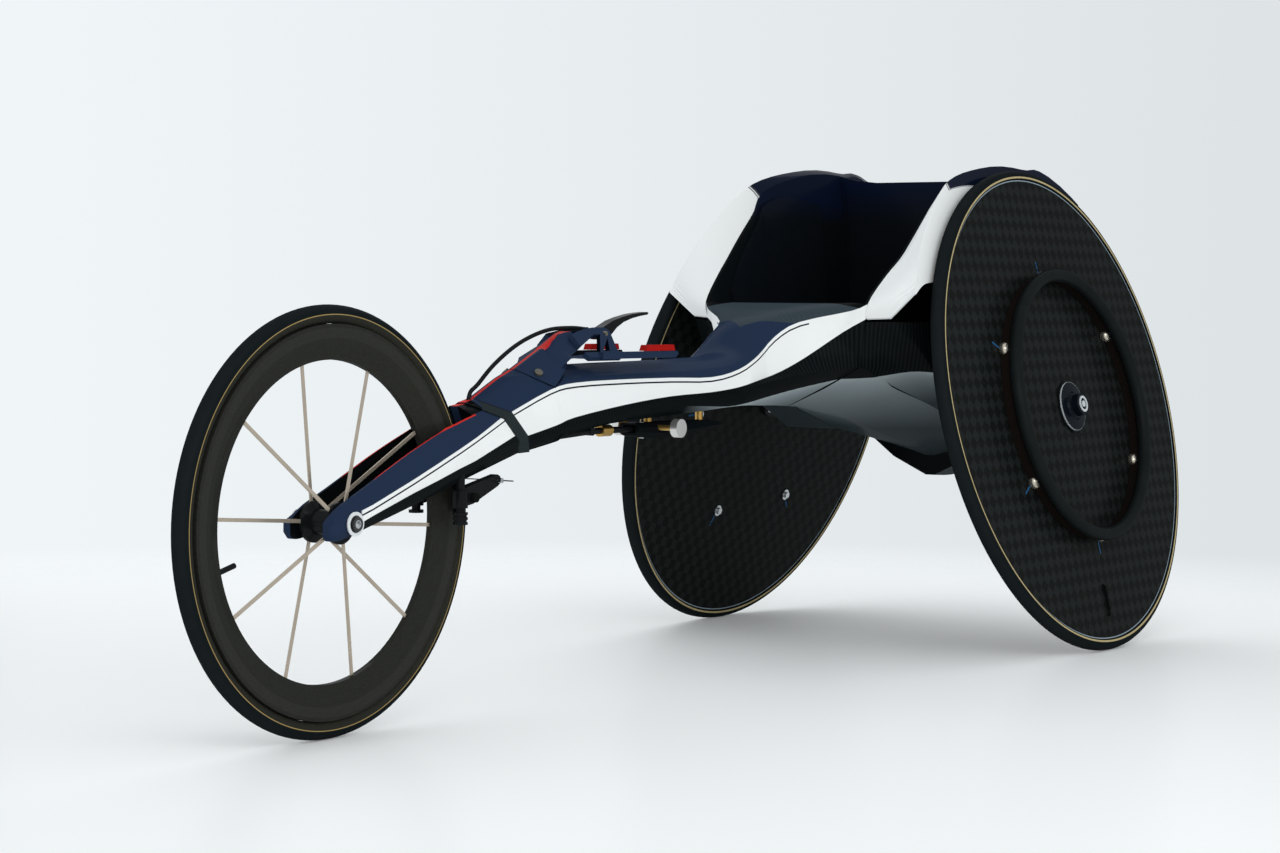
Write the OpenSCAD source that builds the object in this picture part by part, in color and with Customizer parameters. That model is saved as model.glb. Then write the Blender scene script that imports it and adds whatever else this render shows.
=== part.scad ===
// Racing wheelchair: a long beam, a bucket seat between two leaning disc wheels,
// a steered front wheel with a brake, and a compensator that limits the steering.
// All lengths are millimetres, X is forward, Y is the rider's left, Z is up.

/* [Wheels] */
// Outside diameter of a rear wheel with its tyre
rear_wheel_d = 676; // [620:1:720]
// Outside diameter of the front wheel with its tyre
front_wheel_d = 469; // [430:1:500]
// Distance from the rear axle to the front axle
wheelbase = 1262; // [1200:1:1340]
// Distance between the rear tyres where they touch the ground
track_w = 641; // [620:1:700]
// Lean of each rear wheel in degrees
camber = 13.4; // [12:0.1:14.5]
// Width of a rear tyre
rear_tyre_w = 20.8; // [18:0.1:22]
// Width of the front tyre
front_tyre_w = 21.8; // [18:0.1:24]

/* [Rear wheel] */
// Thickness of the disc at the tyre
disc_rim_w = 16; // [14:0.1:18]
// Thickness of the disc at the handrim
disc_mid_w = 20; // [17:0.1:21]
// Thickness of the disc at the hub
disc_hub_w = 26; // [22:0.1:28]
// How far the tyre is sunk in the disc, from its outside
rear_tyre_h = 14; // [12:0.1:18]
// Diameter of the hub body that carries the disc
hub_d = 44; // [40:0.1:50]
// Diameter of the hub's outer flange
hub_flange_d = 72; // [60:0.5:80]
// Thickness of the hub's outer flange
hub_flange_t = 2.6; // [2:0.1:4]
// How far the hub reaches inwards from the disc's inner face
hub_inner_l = 5; // [3:0.1:8]
// Diameter of the wheel axle
axle_d = 15; // [12:0.1:17]
// Outside diameter of a hub bearing
hub_bearing_d = 32; // [28:0.1:35]
// Width of a hub bearing
hub_bearing_w = 9; // [7:0.1:10]
// Diameter of the hub cap's dome
cap_d = 40; // [34:0.5:48]
// Height of the hub cap
cap_h = 7.5; // [5:0.1:10]
// Wall of the hub cap
cap_wall = 2; // [1.5:0.1:3]
// Width of the axle's hexagon end over its corners
axle_hex_d = 14.4; // [12:0.1:15]
// Length of the slot that reaches the tyre's valve
valve_slot_l = 46; // [30:1:55]
// Width of the valve slot
valve_slot_w = 18; // [12:1:22]
// Depth of the valve slot
valve_slot_h = 6; // [4:0.1:7]

/* [Handrim] */
// Diameter of the handrim, middle to middle of its tube
handrim_d = 364; // [330:1:400]
// Diameter of the rubber tube
handrim_tube_d = 18; // [15:0.1:22]
// Distance from the wheel's middle to the middle of the tube
handrim_out = 32; // [29:0.1:36]
// Thickness of the hoop under the rubber
hoop_t = 6; // [4:0.1:8]
// Number of standoffs in a handrim
standoff_n = 6; // [4:1:8]
// Diameter of a standoff
standoff_d = 11; // [9:0.1:13]
// Diameter of a handrim screw
rim_screw_d = 6; // [5:0.1:7]
// Diameter of a washer on the disc's inner face
rim_washer_d = 16; // [12:0.1:18]
// Thickness of a washer
rim_washer_t = 1.6; // [1:0.1:2]
// Height of a screw head on the disc's inner face
rim_screw_head_h = 3.4; // [2.5:0.1:4]
// Diameter of a screw head on the disc's inner face
rim_screw_head_d = 9.6; // [8:0.1:11]

/* [Front wheel] */
// Depth of the front rim
front_rim_h = 39; // [30:0.5:45]
// Width of the front rim
front_rim_w = 23; // [20:0.1:24]
// How far the front tyre stands out of its rim
front_tyre_h = 20.4; // [18:0.1:21]
// Number of spokes
spoke_n = 10; // [8:2:20]
// Width of a flat spoke
spoke_w = 4.2; // [3:0.1:6]
// Thickness of a flat spoke
spoke_t = 1.6; // [1.2:0.1:2.4]
// Diameter of the front hub's flanges
front_flange_d = 46; // [36:0.5:54]
// Thickness of a front hub flange
front_flange_t = 4; // [3:0.1:5]
// Diameter of the front hub's barrel
front_barrel_d = 29; // [26:0.1:32]
// Length of the front hub over its flanges
front_hub_l = 40; // [36:0.1:42]
// Diameter of the front axle
front_axle_d = 10; // [8:0.1:12]
// Outside diameter of a front bearing
front_bearing_d = 22; // [19:0.1:24]
// Width of a front bearing
front_bearing_w = 7; // [6:0.1:8]
// Diameter of the tyre valve
valve_d = 6; // [5:0.1:7]
// Length of the tyre valve inside the rim
valve_l = 25; // [15:0.5:35]

/* [Steering] */
// Lean of the steering line from upright, in degrees
steer_tilt = 40; // [37:0.1:43]
// Height of the middle of the lower head joint
head_z = 330; // [322:0.5:338]
// How far behind the front tyre's touching point the steering line meets the ground
steer_lead = 9; // [0:0.5:20]
// Distance between the lower and the upper head joint
head_l = 74; // [70:0.5:80]
// Distance from the steering line to the head's ridge
head_r = 48; // [46:0.1:50]
// Gap between the fork and the head
head_gap = 0.8; // [0.5:0.1:1.5]
// Diameter of the steerer
steerer_d = 25.4; // [22:0.1:26]
// Diameter of the steerer's upper end
steerer_top_d = 14; // [12:0.1:15]
// Outside diameter of a head bearing
head_bearing_d = 38; // [36:0.1:40]
// Width of a head bearing
head_bearing_w = 7; // [6:0.1:9]
// Height of the upper head bearing above the lower joint
head_bearing_up = 36; // [32:0.5:38]
// Depth of the steerer in the fork
steerer_in = 34; // [25:0.5:36]
// How far the steerer reaches past the upper head joint
steerer_up = 7; // [5:0.1:8]
// Radius of the handlebar's round foot
foot_r = 49.4; // [48:0.1:49.6]
// Gap around the handlebar's foot
foot_gap = 1.2; // [0.8:0.1:2]

/* [Fork] */
// Width of the wheel slot in the fork
fork_slot_w = 46; // [44:0.1:48]
// Gap between the front tyre and the fork's crown
fork_tyre_gap = 13.6; // [10:0.1:16]
// Height of the band at the top of the fork
fork_band_h = 13; // [8:0.5:18]
// How far the band stands out
fork_band_out = 1.6; // [0.5:0.1:2.5]
// Diameter of a washer under an axle bolt
axle_washer_d = 26.4; // [22:0.1:28]
// Thickness of the washer
axle_washer_t = 1.6; // [1:0.1:2.5]
// Diameter of an axle bolt's head
axle_bolt_d = 15.6; // [13:0.1:18]
// Height of an axle bolt's head
axle_bolt_h = 3.2; // [2:0.1:4]
// Width of the bolt's hexagon socket over its corners
axle_socket_d = 8.2; // [6:0.1:9]

/* [Handlebar] */
// Distance from the steering foot to the ends of the bar
bar_l = 260; // [245:1:275]
// Height of the bar's tower over its arms
bar_h = 37; // [32:0.5:42]
// Height of the arms' underside above the ground
bar_z = 405; // [404:0.1:408]
// Distance between the bar's arms, middle to middle
bar_w = 84; // [80:0.5:88]
// Lean of the bar's side plates, in degrees
bar_lean = 43; // [42:0.5:44]
// Thickness of a side plate
bar_t = 7; // [6:0.1:8]
// Width of an arm
arm_bar_w = 11; // [9:0.1:13]
// Diameter of the lever's pin
lever_pin_d = 6; // [5:0.1:8]
// Width of the lever
lever_w = 12; // [10:0.1:14]
// Diameter of a handlebar screw's head
bar_screw_d = 10; // [8:0.1:11]
// Height of a handlebar screw's head
bar_screw_h = 3; // [2:0.1:4]

/* [Frame] */
// Height of the beam's top
beam_z = 400; // [394:0.5:402]
// Width of the beam
beam_w = 90; // [86:0.5:94]
// Distance from a rear wheel's middle to the seat's lower wall
wing_w = 126.6; // [122:0.1:132]
// Thickness of the seat's wall
seat_wall = 4; // [3:0.1:5]
// Height of the seat back's middle above the rear axle
seat_back_up = 318; // [301:1:323]
// Diameter of the rolled seat lip
lip_d = 9; // [7:0.1:11]
// Thickness of the side liners
liner_t = 5; // [4:0.1:6]
// Distance from a wheel's middle to its wing
wing_gap = 50; // [46:0.5:54]
// Thickness of a fender
fender_t = 4; // [3:0.1:5]
// Distance from a wheel's middle to its fender
fender_gap = 13.6; // [13:0.1:16]
// Diameter of an axle's root in its wing
axle_root_d = 24; // [20:0.5:28]
// Length of the axle's root in its wing
axle_root_l = 56; // [40:1:60]
// Diameter of the axle's collar
axle_collar_d = 30; // [26:0.5:36]

/* [Brake] */
// Diameter of a brake stud
stud_d = 10; // [8:0.1:12]
// Distance between the brake studs
stud_gap = 64; // [60:0.5:68]
// Diameter of a stud's ribbed barrel
barrel_d = 17; // [14:0.1:20]
// Height of a stud's ribbed barrel
barrel_h = 14; // [10:0.5:18]
// Thickness of a brake arm
arm_t = 10; // [8:0.1:12]
// Width of a brake arm
arm_w = 13; // [11:0.1:15]
// Height of a brake pad
brake_pad_h = 34; // [26:0.5:40]
// Width of a brake pad
brake_pad_w = 11; // [9:0.1:13]
// Thickness of a brake pad
brake_pad_t = 7; // [5:0.1:8]
// Gap between a brake pad and the rim
brake_gap = 2; // [1.8:0.1:3]
// Diameter of a pad's bolt
pad_bolt_d = 6; // [5:0.1:7]
// Diameter of the brake wire
wire_d = 1.6; // [1.2:0.1:2]
// Diameter of the brake cable
cable_d = 5; // [4:0.1:6]

/* [Compensator] */
// Length of the compensator's housing
comp_l = 206; // [190:1:215]
// Width of the housing
comp_w = 32; // [28:0.5:34]
// Height of the housing's middle above the ground
comp_z = 316; // [314:0.1:317]
// Height of the housing at its front
comp_h = 20; // [18:0.1:21]
// Diameter of the pivot pin
comp_pin_d = 6; // [5:0.1:8]
// Diameter of the arm's rod
comp_rod_d = 8; // [7:0.1:9]
// Width of the arm's eye
comp_eye_d = 16; // [14:0.1:17]
// Thickness of the arm's eye
comp_eye_t = 8; // [7:0.1:9]
// Diameter of a limit screw
limit_d = 7; // [6:0.1:8]
// Diameter of a limit screw's knob
knob_d = 23; // [19:0.1:26]
// Thickness of a limit screw's knob
knob_t = 9; // [7:0.1:11]
// Length of a limit screw outside the housing
limit_l = 24; // [18:0.5:28]
// Diameter of a mounting spacer
spacer_d = 10; // [8:0.1:12]

/* [Fits] */
// Radial clearance of pieces that turn on each other
run_fit = 0.05; // [0.02:0.01:0.08]
// Gap between pieces that are glued or screwed together
seat_gap = 0.3; // [0.2:0.05:0.5]
// Clearance of the opened pivot at the compensator's yoke
yoke_gap = 2; // [1.6:0.1:2.5]

/* [Hidden] */
$fn = 96;
// Overrun of cuts
over = 1;

// Places of the axles
rear_r = rear_wheel_d / 2;
front_r = front_wheel_d / 2;
rear_x = rear_r - (wheelbase + rear_r + front_r) / 2;
front_x = rear_x + wheelbase;
rear_ring_r = rear_r - rear_tyre_w / 2;
front_ring_r = front_r - front_tyre_w / 2;
hub_z = rear_ring_r * cos(camber) + rear_tyre_w / 2;
hub_y = track_w / 2 - rear_ring_r * sin(camber);
head_x = front_x - steer_lead - head_z * tan(steer_tilt);
half_beam = beam_w / 2;
root_y = hub_y - wing_w;
seat_back_z = hub_z + seat_back_up;

// Tables along the object give X in shares of a run from the rear axle, with the head at head_share,
// Z in shares of the beam's height and Y in shares of the beam's half width.
head_share = 0.77345;
beam_run = (head_x - rear_x) / head_share;
function at_x(share) = rear_x + share * beam_run;
function at_z(share) = share * beam_z;
function at_y(share) = share * half_beam;
function mix(a, b, t) = a + (b - a) * t;
function mid(a, b) = (a + b) / 2;
function clamp(t) = max(0, min(1, t));
// Behind the beam's middle, heights keep to the rear axle, lengths to the rear wheel and widths to the seat
rear_run_share = 3.7337;
rear_run = rear_run_share * rear_r;
hub_share = 0.8227;
root_share = 2.622;
rear_shares = [0.4113, 0.2647];
rear_rise = hub_z - at_z(hub_share);
function rear_part(share) = clamp((rear_shares[0] - share) / (rear_shares[0] - rear_shares[1]));
function rear_at(share) = rear_x + share * rear_run;
function rear_z(share) = at_z(share) + rear_rise;
function frame_x(share) = mix(at_x(share), rear_at(share), rear_part(share));
function frame_z(share, x_share) = at_z(share) + rear_rise * rear_part(x_share);
function frame_y(share, x_share) = at_y(share) * mix(1, root_y / at_y(root_share), rear_part(x_share));
// On the fork, places run from the steering head to the front axle, in X and in height
fork_z_shares = [0.825, 0.58625];
function fork_x(share) = mix(head_x, front_x, share);
function fork_z(share, x_share) = at_z(share)
    + mix(head_z - at_z(fork_z_shares[0]), front_r - at_z(fork_z_shares[1]), clamp(x_share));

function row_of(t, i) = t[max(0, min(len(t) - 1, i))];
function bend(a, b, c, d, t) =
    (2 * b + (c - a) * t + (2 * a - 5 * b + 4 * c - d) * t * t + (3 * b - a - 3 * c + d) * t * t * t) / 2;
// A table's smooth value between its rows, u counted in rows
function smooth(t, u) = let (i = min(len(t) - 2, floor(u)))
    bend(row_of(t, i - 1), row_of(t, i), row_of(t, i + 1), row_of(t, i + 2), u - i);
function reverse(l) = [for (i = [len(l) - 1:-1:0]) l[i]];
function flip_y(l) = [for (p = l) [p[0], -p[1], p[2]]];
// A closed ring from its left half, the right half being its mirror image
function whole(half) = concat(half, reverse(flip_y(half)));

// Faces of a skin over n rings of m points; each end is closed in strips between opposite points
function skin_faces(n, m) = concat(
    [for (k = [0:n - 2], i = [0:m - 1]) let (j = (i + 1) % m)
        each [[k * m + i, (k + 1) * m + i, (k + 1) * m + j], [k * m + i, (k + 1) * m + j, k * m + j]]],
    [for (i = [0:m / 2 - 2]) each [[i, i + 1, m - 2 - i], [i, m - 2 - i, m - 1 - i]]],
    [for (i = [0:m / 2 - 2]) let (b = (n - 1) * m)
        each [[b + i, b + m - 2 - i, b + i + 1], [b + i, b + m - 1 - i, b + m - 2 - i]]]);
module skin(rings) {
    polyhedron([for (r = rings) each r], skin_faces(len(rings), len(rings[0])));
}

// The steering frame: its Z is the steering line, its X points forward and up
module at_head() {
    translate([head_x, 0, head_z]) rotate([0, -steer_tilt, 0]) children();
}
function head_pt(e, y, h) = [head_x + e * cos(steer_tilt) - h * sin(steer_tilt), y,
    head_z + e * sin(steer_tilt) + h * cos(steer_tilt)];
// The left wheel's frame: its Z is the axle, pointing outwards
module at_wheel() {
    translate([rear_x, hub_y, hub_z]) rotate([camber - 90, 0, 0]) children();
}
// A point by its distance from the axle, its angle up from forward and its distance outwards
function wheel_pt(r, a, n) = [rear_x + r * cos(a), hub_y + n * cos(camber) - r * sin(a) * sin(camber),
    hub_z + n * sin(camber) + r * sin(a) * cos(camber)];
module on_right() {
    mirror([0, 1, 0]) children();
}
// A rod along Y
module cross_rod(d, l) {
    rotate([90, 0, 0]) cylinder(d = d, h = l, center = true);
}
module ring(d_in, d_out, h) {
    rotate_extrude() translate([d_in / 2, 0]) square([(d_out - d_in) / 2, h]);
}
// Head section of the beam in shares of head_r and head_l: forward, half width, height along the steering
head_shares = [
    [[-0.97, 0.58, 0], [-0.62, 0.83, 0], [-0.375, 0.9, 0], [0.54, 0.94, 0], [1, 0.09, 0]],
    [[-1.83, 0.54, 0.625], [-1.4, 0.83, 0.61], [-1.16, 0.9, 0.615], [-0.36, 0.94, 0.92],
        [0.22, 0.09, 1.005]]];
// Beam sections: X, then half width and height of keel, chine, flank, shoulder and ridge
beam_shares = [
    [0.6886, 0.55, 0.7825, 0.9, 0.822, 0.956, 0.8425, 1, 0.945, 0.1, 0.9925],
    [0.6094, 0.55, 0.815, 0.91, 0.852, 0.97, 0.8725, 1, 0.95, 0.16, 0.9975],
    [0.5301, 0.55, 0.8275, 0.9, 0.875, 0.96, 0.8925, 1, 0.95, 0.2, 1],
    [0.4588, 0.55, 0.8375, 0.92, 0.885, 0.97, 0.9, 1, 0.9475, 0.2, 1.005],
    [0.4113, 0.66, 0.8475, 1.08, 0.9, 1.045, 0.913, 1.045, 0.97, 0.22, 1.01],
    [0.3796, 0.72, 0.851, 1.38, 0.9265, 1.155, 0.934, 1.11, 1.0125, 0.25, 1.0325],
    [0.3494, 0.62, 0.848, 1.667, 0.945, 1.333, 0.96, 1.133, 1.0725, 0.4, 1.11],
    [0.3162, 0.5, 0.845, 2, 0.9575, 1.6, 1.005, 1.378, 1.12, 0.7, 1.1475],
    [0.2781, 0.3, 0.84, 2.42, 0.97, 2.22, 1.0875, 2.49, 1.1575, 1.5, 1.1775],
    [0.2647, 0.15, 0.8375, 2.6, 0.9725, 2.76, 1.13, 2.82, 1.18, 2.2, 1.184]];
beam_crown_share = 0.45;
crown_shares = [1 / 3, 2 / 3];
// Adds points on a rounded top between the shoulder and the ridge
function roof(half, crown) = let (s = half[3], r = half[4])
    concat([for (i = [0:3]) half[i]],
        [for (t = crown_shares) [mix(s[0], r[0], t), mix(s[1], r[1], t),
            mix(s[2], r[2], t + crown * t * (1 - t))]], [r]);
head_halves = [for (row = head_shares)
    roof([for (p = row) head_pt(p[0] * head_r, p[1] * head_r, p[2] * head_l)], 0)];
beam_halves = [for (row = beam_shares) let (x = row[0])
    roof([for (i = [1:2:9]) [frame_x(x), frame_y(row[i], x), frame_z(row[i + 1], x)]], beam_crown_share)];
beam_steps = 3;
frame_halves = concat(head_halves, beam_halves);
beam_rings = [for (i = [0:(len(frame_halves) - 1) * beam_steps])
    whole(smooth(frame_halves, i / beam_steps))];
beam_end_x = frame_x(beam_shares[len(beam_shares) - 1][0]);
// Height of the beam's underside on its middle plane
function beam_bottom(x) = lookup(x, [for (r = reverse(beam_shares)) [frame_x(r[0]), frame_z(r[2], r[0])]]);

// Slot under the beam for the compensator's arm
slot_x_shares = [0.655, 0.7535];
slot_z_share = 0.815;
slot_w_share = 0.96;

module main_beam() {
    color("navy") difference() {
        skin(reverse(beam_rings));
        at_head() {
            translate([0, 0, -over])
                cylinder(d = head_bearing_d + 2 * run_fit, h = head_bearing_w + run_fit + over);
            cylinder(d = steerer_d + 2 * seat_gap, h = head_bearing_up + over);
            translate([0, 0, head_bearing_up - run_fit])
                cylinder(d = head_bearing_d + 2 * run_fit, h = head_bearing_w + 2 * run_fit);
            cylinder(d = steerer_top_d + 2 * seat_gap, h = head_l + over);
            translate([0, 0, head_l]) cylinder(r = foot_r + foot_gap, h = head_l);
        }
        translate([at_x(slot_x_shares[0]), -at_y(slot_w_share) / 2, 0])
            cube([at_x(slot_x_shares[1]) - at_x(slot_x_shares[0]), at_y(slot_w_share), at_z(slot_z_share)]);
    }
}

// Fender rows: angle, radius share and distance inwards in shares of fender_gap, for the inner edge,
// the middle of the band and the outer edge, then angle and radius share of the skirt's lower edge
fender_shares = [
    [24, 1.0798, 6.47, 23.9, 1.0444, 4.26, 26.8, 1.08, 1, 27, 1.071],
    [26.7, 1.1045, 5.89, 27.6, 1.1, 3.3, 29.6, 1.083, 1, 31, 1.02],
    [34.5, 1.0592, 4.85, 35, 1.077, 2.9, 36, 1.083, 1, 37, 0.911],
    [42, 1.0237, 3.97, 43, 1.06, 2.45, 44, 1.083, 1, 45, 0.893],
    [55, 1.0207, 2.87, 55.5, 1.057, 1.95, 56, 1.083, 1, 56, 0.888],
    [62, 1.0444, 2.05, 62, 1.066, 1.55, 62, 1.08, 1, 62, 0.888],
    [78, 1.0267, 1.95, 78, 1.036, 1.5, 78, 1.0385, 1, 78, 0.888],
    [98, 1.0237, 1.95, 98, 1.034, 1.5, 98, 1.0355, 1, 98, 0.888],
    [107, 1.0533, 1.95, 107, 1.068, 1.5, 107, 1.071, 1, 107, 0.888],
    [125, 1.0681, 1.95, 125, 1.08, 1.5, 125, 1.0828, 1, 125, 0.888]];
function fender_row(u) = smooth(fender_shares, u);
skirt_share = 0.55;
function fender_pt(a, share, n_share, drop, shift) =
    wheel_pt(share * rear_r - drop, a, -n_share * fender_gap - shift);
// One section: the skirt, the band and the inner edge, then back along the inside
function fender_ring(u) = let (q = fender_row(u)) [
    fender_pt(q[9], q[10], 1, 0, 0),
    fender_pt(q[6], mix(q[10], q[7], skirt_share), 1, 0, 0),
    fender_pt(q[6], q[7], 1, 0, 0),
    fender_pt(q[3], q[4], q[5], 0, 0),
    fender_pt(q[0], q[1], q[2], 0, 0),
    fender_pt(q[0], q[1], q[2], fender_t, 0),
    fender_pt(q[3], q[4], q[5], fender_t, fender_t / 4),
    fender_pt(q[6], q[7], 1, fender_t, fender_t),
    fender_pt(q[6], mix(q[10], q[7], skirt_share), 1, fender_t / 2, fender_t),
    fender_pt(q[9], q[10], 1, 0, fender_t)];
fender_steps = 4;
module left_fender() {
    last = (len(fender_shares) - 1) * fender_steps;
    color("white") skin(reverse([for (i = [0:last]) fender_ring(i / fender_steps)]));
}
module right_fender() {
    on_right() left_fender();
}

// Seat tub: its rim follows the fender's inner edge
knee_share = 1.1375;
bilge_share = 0.46;
keel_shares = [[-0.2, 0.56], [-0.1054, 0.59], [0.0158, 0.6875], [0.1276, 0.7775], [0.2322, 0.8325],
    [0.27, 0.8375]];
low_shares = [[-0.2, 0.74], [-0.0483, 0.715], [0, 0.7225], [0.0626, 0.785], [0.126, 0.845], [0.1973, 0.9],
    [0.2274, 0.945], [0.2647, 0.9725]];
function along(shares, x) = rear_z(lookup((x - rear_x) / rear_run, shares));
tub_first_share = 1;
tub_last_share = 7.3;
tub_steps = 24;
keel_y_share = 0.15;
function tub_ring(u) = let (
    q = fender_row(u),
    rim = fender_pt(q[0], q[1], q[2], 0, seat_gap),
    x = rim[0],
    low = along(low_shares, x),
    keel = along(keel_shares, x),
    knee = rear_z(knee_share),
    out = [rim, mid(rim, [x, root_y, knee]), [x, root_y, knee], [x, root_y, low],
        [x, mid(at_y(keel_y_share), root_y), mix(keel, low, bilge_share)], [x, at_y(keel_y_share), keel]],
    shift = [[0, -seat_wall, 0], [0, -seat_wall, 0], [0, -seat_wall, 0], [0, -seat_wall, seat_wall],
        [0, 0, seat_wall], [0, 0, seat_wall]])
    concat(out, reverse(flip_y(out)), flip_y(out + shift), reverse(out + shift));
module seat_tub() {
    color("dimgray") skin([for (i = [0:tub_steps])
        tub_ring(mix(tub_first_share, tub_last_share, i / tub_steps))]);
}

// Back plate inside the tub, from its floor to its upper edge
back_share = 6.87;
back_corner_share = 0.55;
back_inset_share = 2;
back_shoulder_share = 0.3;
module seat_back() {
    inner = reverse(tub_ring(back_share));
    half = [for (i = [0:5]) inner[i]];
    top = half[0][2];
    color("dimgray") translate([half[0][0], 0, 0]) rotate([90, 0, 90]) for (k = [0, 1]) let (
        inset = k * back_inset_share * seat_wall,
        gap = 3 * seat_gap + inset,
        crown = seat_back_z - inset,
        corner = half[0][1] * back_corner_share,
        shoulder = [mid(half[0][1], corner) - gap / 2, mix(crown, top, back_shoulder_share)],
        edge = [for (p = half) [max(p[1] - gap, p[1] / 4), p[2] + (p[2] > seat_back_z ? -gap : gap)]],
        side = concat([[corner, crown], shoulder], edge))
        translate([0, 0, k * seat_wall / 2]) linear_extrude(height = seat_wall)
            polygon(concat(side, [for (p = reverse(side)) [-p[0], p[1]]]));
}

// Tail behind the tub: X share of its length, half width share of the seat, then its widest, low and high Z
tail_shares = [[0, 0.93, 0.715, 0.56, 1.03], [0.45, 0.83, 0.72, 0.555, 0.97], [0.8, 0.6, 0.735, 0.57, 0.89],
    [1, 0.28, 0.76, 0.62, 0.8]];
tail_l_share = 0.092;
tail_side_shares = [0.55, 0.8, 0.3];
tail_rise_shares = [0.4, 0.6, 0.94];
tail_steps = 3;
function tail_half(x, w, low, wide, high) = [[x, at_y(keel_y_share), low],
    [x, w * tail_side_shares[0], mix(low, wide, tail_rise_shares[0])], [x, w, wide],
    [x, w, mix(wide, high, tail_rise_shares[1])],
    [x, w * tail_side_shares[1], mix(wide, high, tail_rise_shares[2])], [x, w * tail_side_shares[2], high]];
module tail_fairing() {
    start = tub_ring(tub_last_share)[0][0] - seat_gap;
    last = (len(tail_shares) - 1) * tail_steps;
    color("dimgray") skin(reverse([for (i = [0:last]) let (q = smooth(tail_shares, i / tail_steps))
        whole(tail_half(start - q[0] * tail_l_share * rear_run, q[1] * root_y, rear_z(q[3]), rear_z(q[2]),
            rear_z(q[4])))]));
}

// Wing sections from the tub to the wheel: place across, then X share and Z share of each corner
wing_shares = [
    [0, 0.262, 0.9725, 0.2633, 1.12, 0.13, 1.125, -0.02, 1.12, -0.055, 0.96, 0.0, 0.7225, 0.126, 0.845],
    [0.42, 0.2274, 0.975, 0.258, 1.122, 0.13, 1.127, -0.02, 1.115, -0.055, 0.95, 0.0, 0.7235, 0.118, 0.867],
    [0.8, 0.2, 0.955, 0.25, 1.122, 0.13, 1.125, -0.02, 1.105, -0.055, 0.94, 0.0, 0.7245, 0.105, 0.867],
    [1, 0.192, 0.942, 0.238, 1.12, 0.13, 1.12, -0.02, 1.1, -0.055, 0.93, 0.0, 0.725, 0.098, 0.85]];
wing_belly_share = 0.45;
wing_steps = 3;
function wing_end(z) = hub_y - wing_gap / cos(camber) - (z - hub_z) * tan(camber);
function wing_ring(q) = let (
    corners = [for (k = [1:2:13]) [rear_at(q[k]), rear_z(q[k + 1])]],
    first = corners[0],
    last = corners[len(corners) - 1],
    belly = [mid(last[0], first[0]), mix(last[1], first[1], wing_belly_share)])
    [for (p = concat(corners, [belly])) [p[0], mix(root_y + seat_gap, wing_end(p[1]), q[0]), p[1]]];
module left_wing() {
    last = (len(wing_shares) - 1) * wing_steps;
    color("black") difference() {
        skin(reverse([for (i = [0:last]) wing_ring(smooth(wing_shares, i / wing_steps))]));
        at_wheel() translate([0, 0, -wing_gap - axle_root_l - seat_gap])
            cylinder(d = axle_root_d + 2 * run_fit, h = axle_root_l + 2 * wing_gap);
    }
}
module right_wing() {
    on_right() left_wing();
}

// Rolled edge at the front of the seat
lip_z_share = 1.158;
module seat_lip() {
    color("black") translate([beam_end_x - lip_d / 2 - 3 * seat_gap, 0, rear_z(lip_z_share)])
        cross_rod(lip_d, 2 * (root_y - seat_wall));
}

// Liners on the tub's inner side walls, their upper edge an arc
liner_first_step = 5;
liner_steps = 15;
liner_low_share = 0.06;
liner_top_shares = [0.5, 0.78, 0.9, 0.94, 0.9, 0.78];
function liner_ring(t) = let (
    step = liner_first_step + t * liner_steps,
    q = reverse(tub_ring(mix(tub_first_share, tub_last_share, step / tub_steps))),
    top = smooth(liner_top_shares, t * (len(liner_top_shares) - 1)),
    wall = [for (s = [liner_low_share, mid(liner_low_share, top), top]) mix(q[2], q[0], s)],
    gap = [0, -3 * seat_gap, 0],
    thick = [0, -3 * seat_gap - liner_t, 0])
    concat([for (p = wall) p + gap], [for (p = reverse(wall)) p + thick]);
module side_liners() {
    rings = [for (i = [0:liner_steps]) liner_ring(i / liner_steps)];
    color("black") {
        skin(reverse(rings));
        on_right() skin(reverse(rings));
    }
}

module head_bearings() {
    color("silver") at_head() for (h = [run_fit, head_bearing_up])
        translate([0, 0, h]) ring(steerer_d + 2 * run_fit, head_bearing_d, head_bearing_w - run_fit);
}

// Axle fixed in its wing, the wheel runs on it
disc_face = disc_hub_w / 2;
cap_base = disc_face + hub_flange_t + seat_gap;
axle_end_h = 2;
module left_axle() {
    collar_end = -disc_face - hub_inner_l - 2 * seat_gap;
    color("silver") at_wheel() {
        translate([0, 0, -wing_gap - axle_root_l]) cylinder(d = axle_root_d, h = axle_root_l);
        translate([0, 0, -wing_gap + seat_gap])
            cylinder(d = axle_collar_d, h = wing_gap - seat_gap + collar_end);
        translate([0, 0, -wing_gap - over]) cylinder(d = axle_d, h = wing_gap + over + cap_base);
        translate([0, 0, cap_base - over]) cylinder(d = axle_hex_d, h = cap_h + axle_end_h + over, $fn = 6);
    }
}
module right_axle() {
    on_right() left_axle();
}

// Compensator housing: X shares of comp_l back from its front, low and high shares of comp_h, width share
comp_front_share = 0.552;
comp_shares = [[0, -0.33, 0.37, 1], [0.04, -0.48, 0.37, 1], [0.28, -0.64, 0.37, 1], [0.55, -0.5, 0.36, 0.8],
    [0.86, -0.26, 0.31, 0.45], [1, -0.12, 0.07, 0.2]];
comp_front = at_x(comp_front_share);
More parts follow.
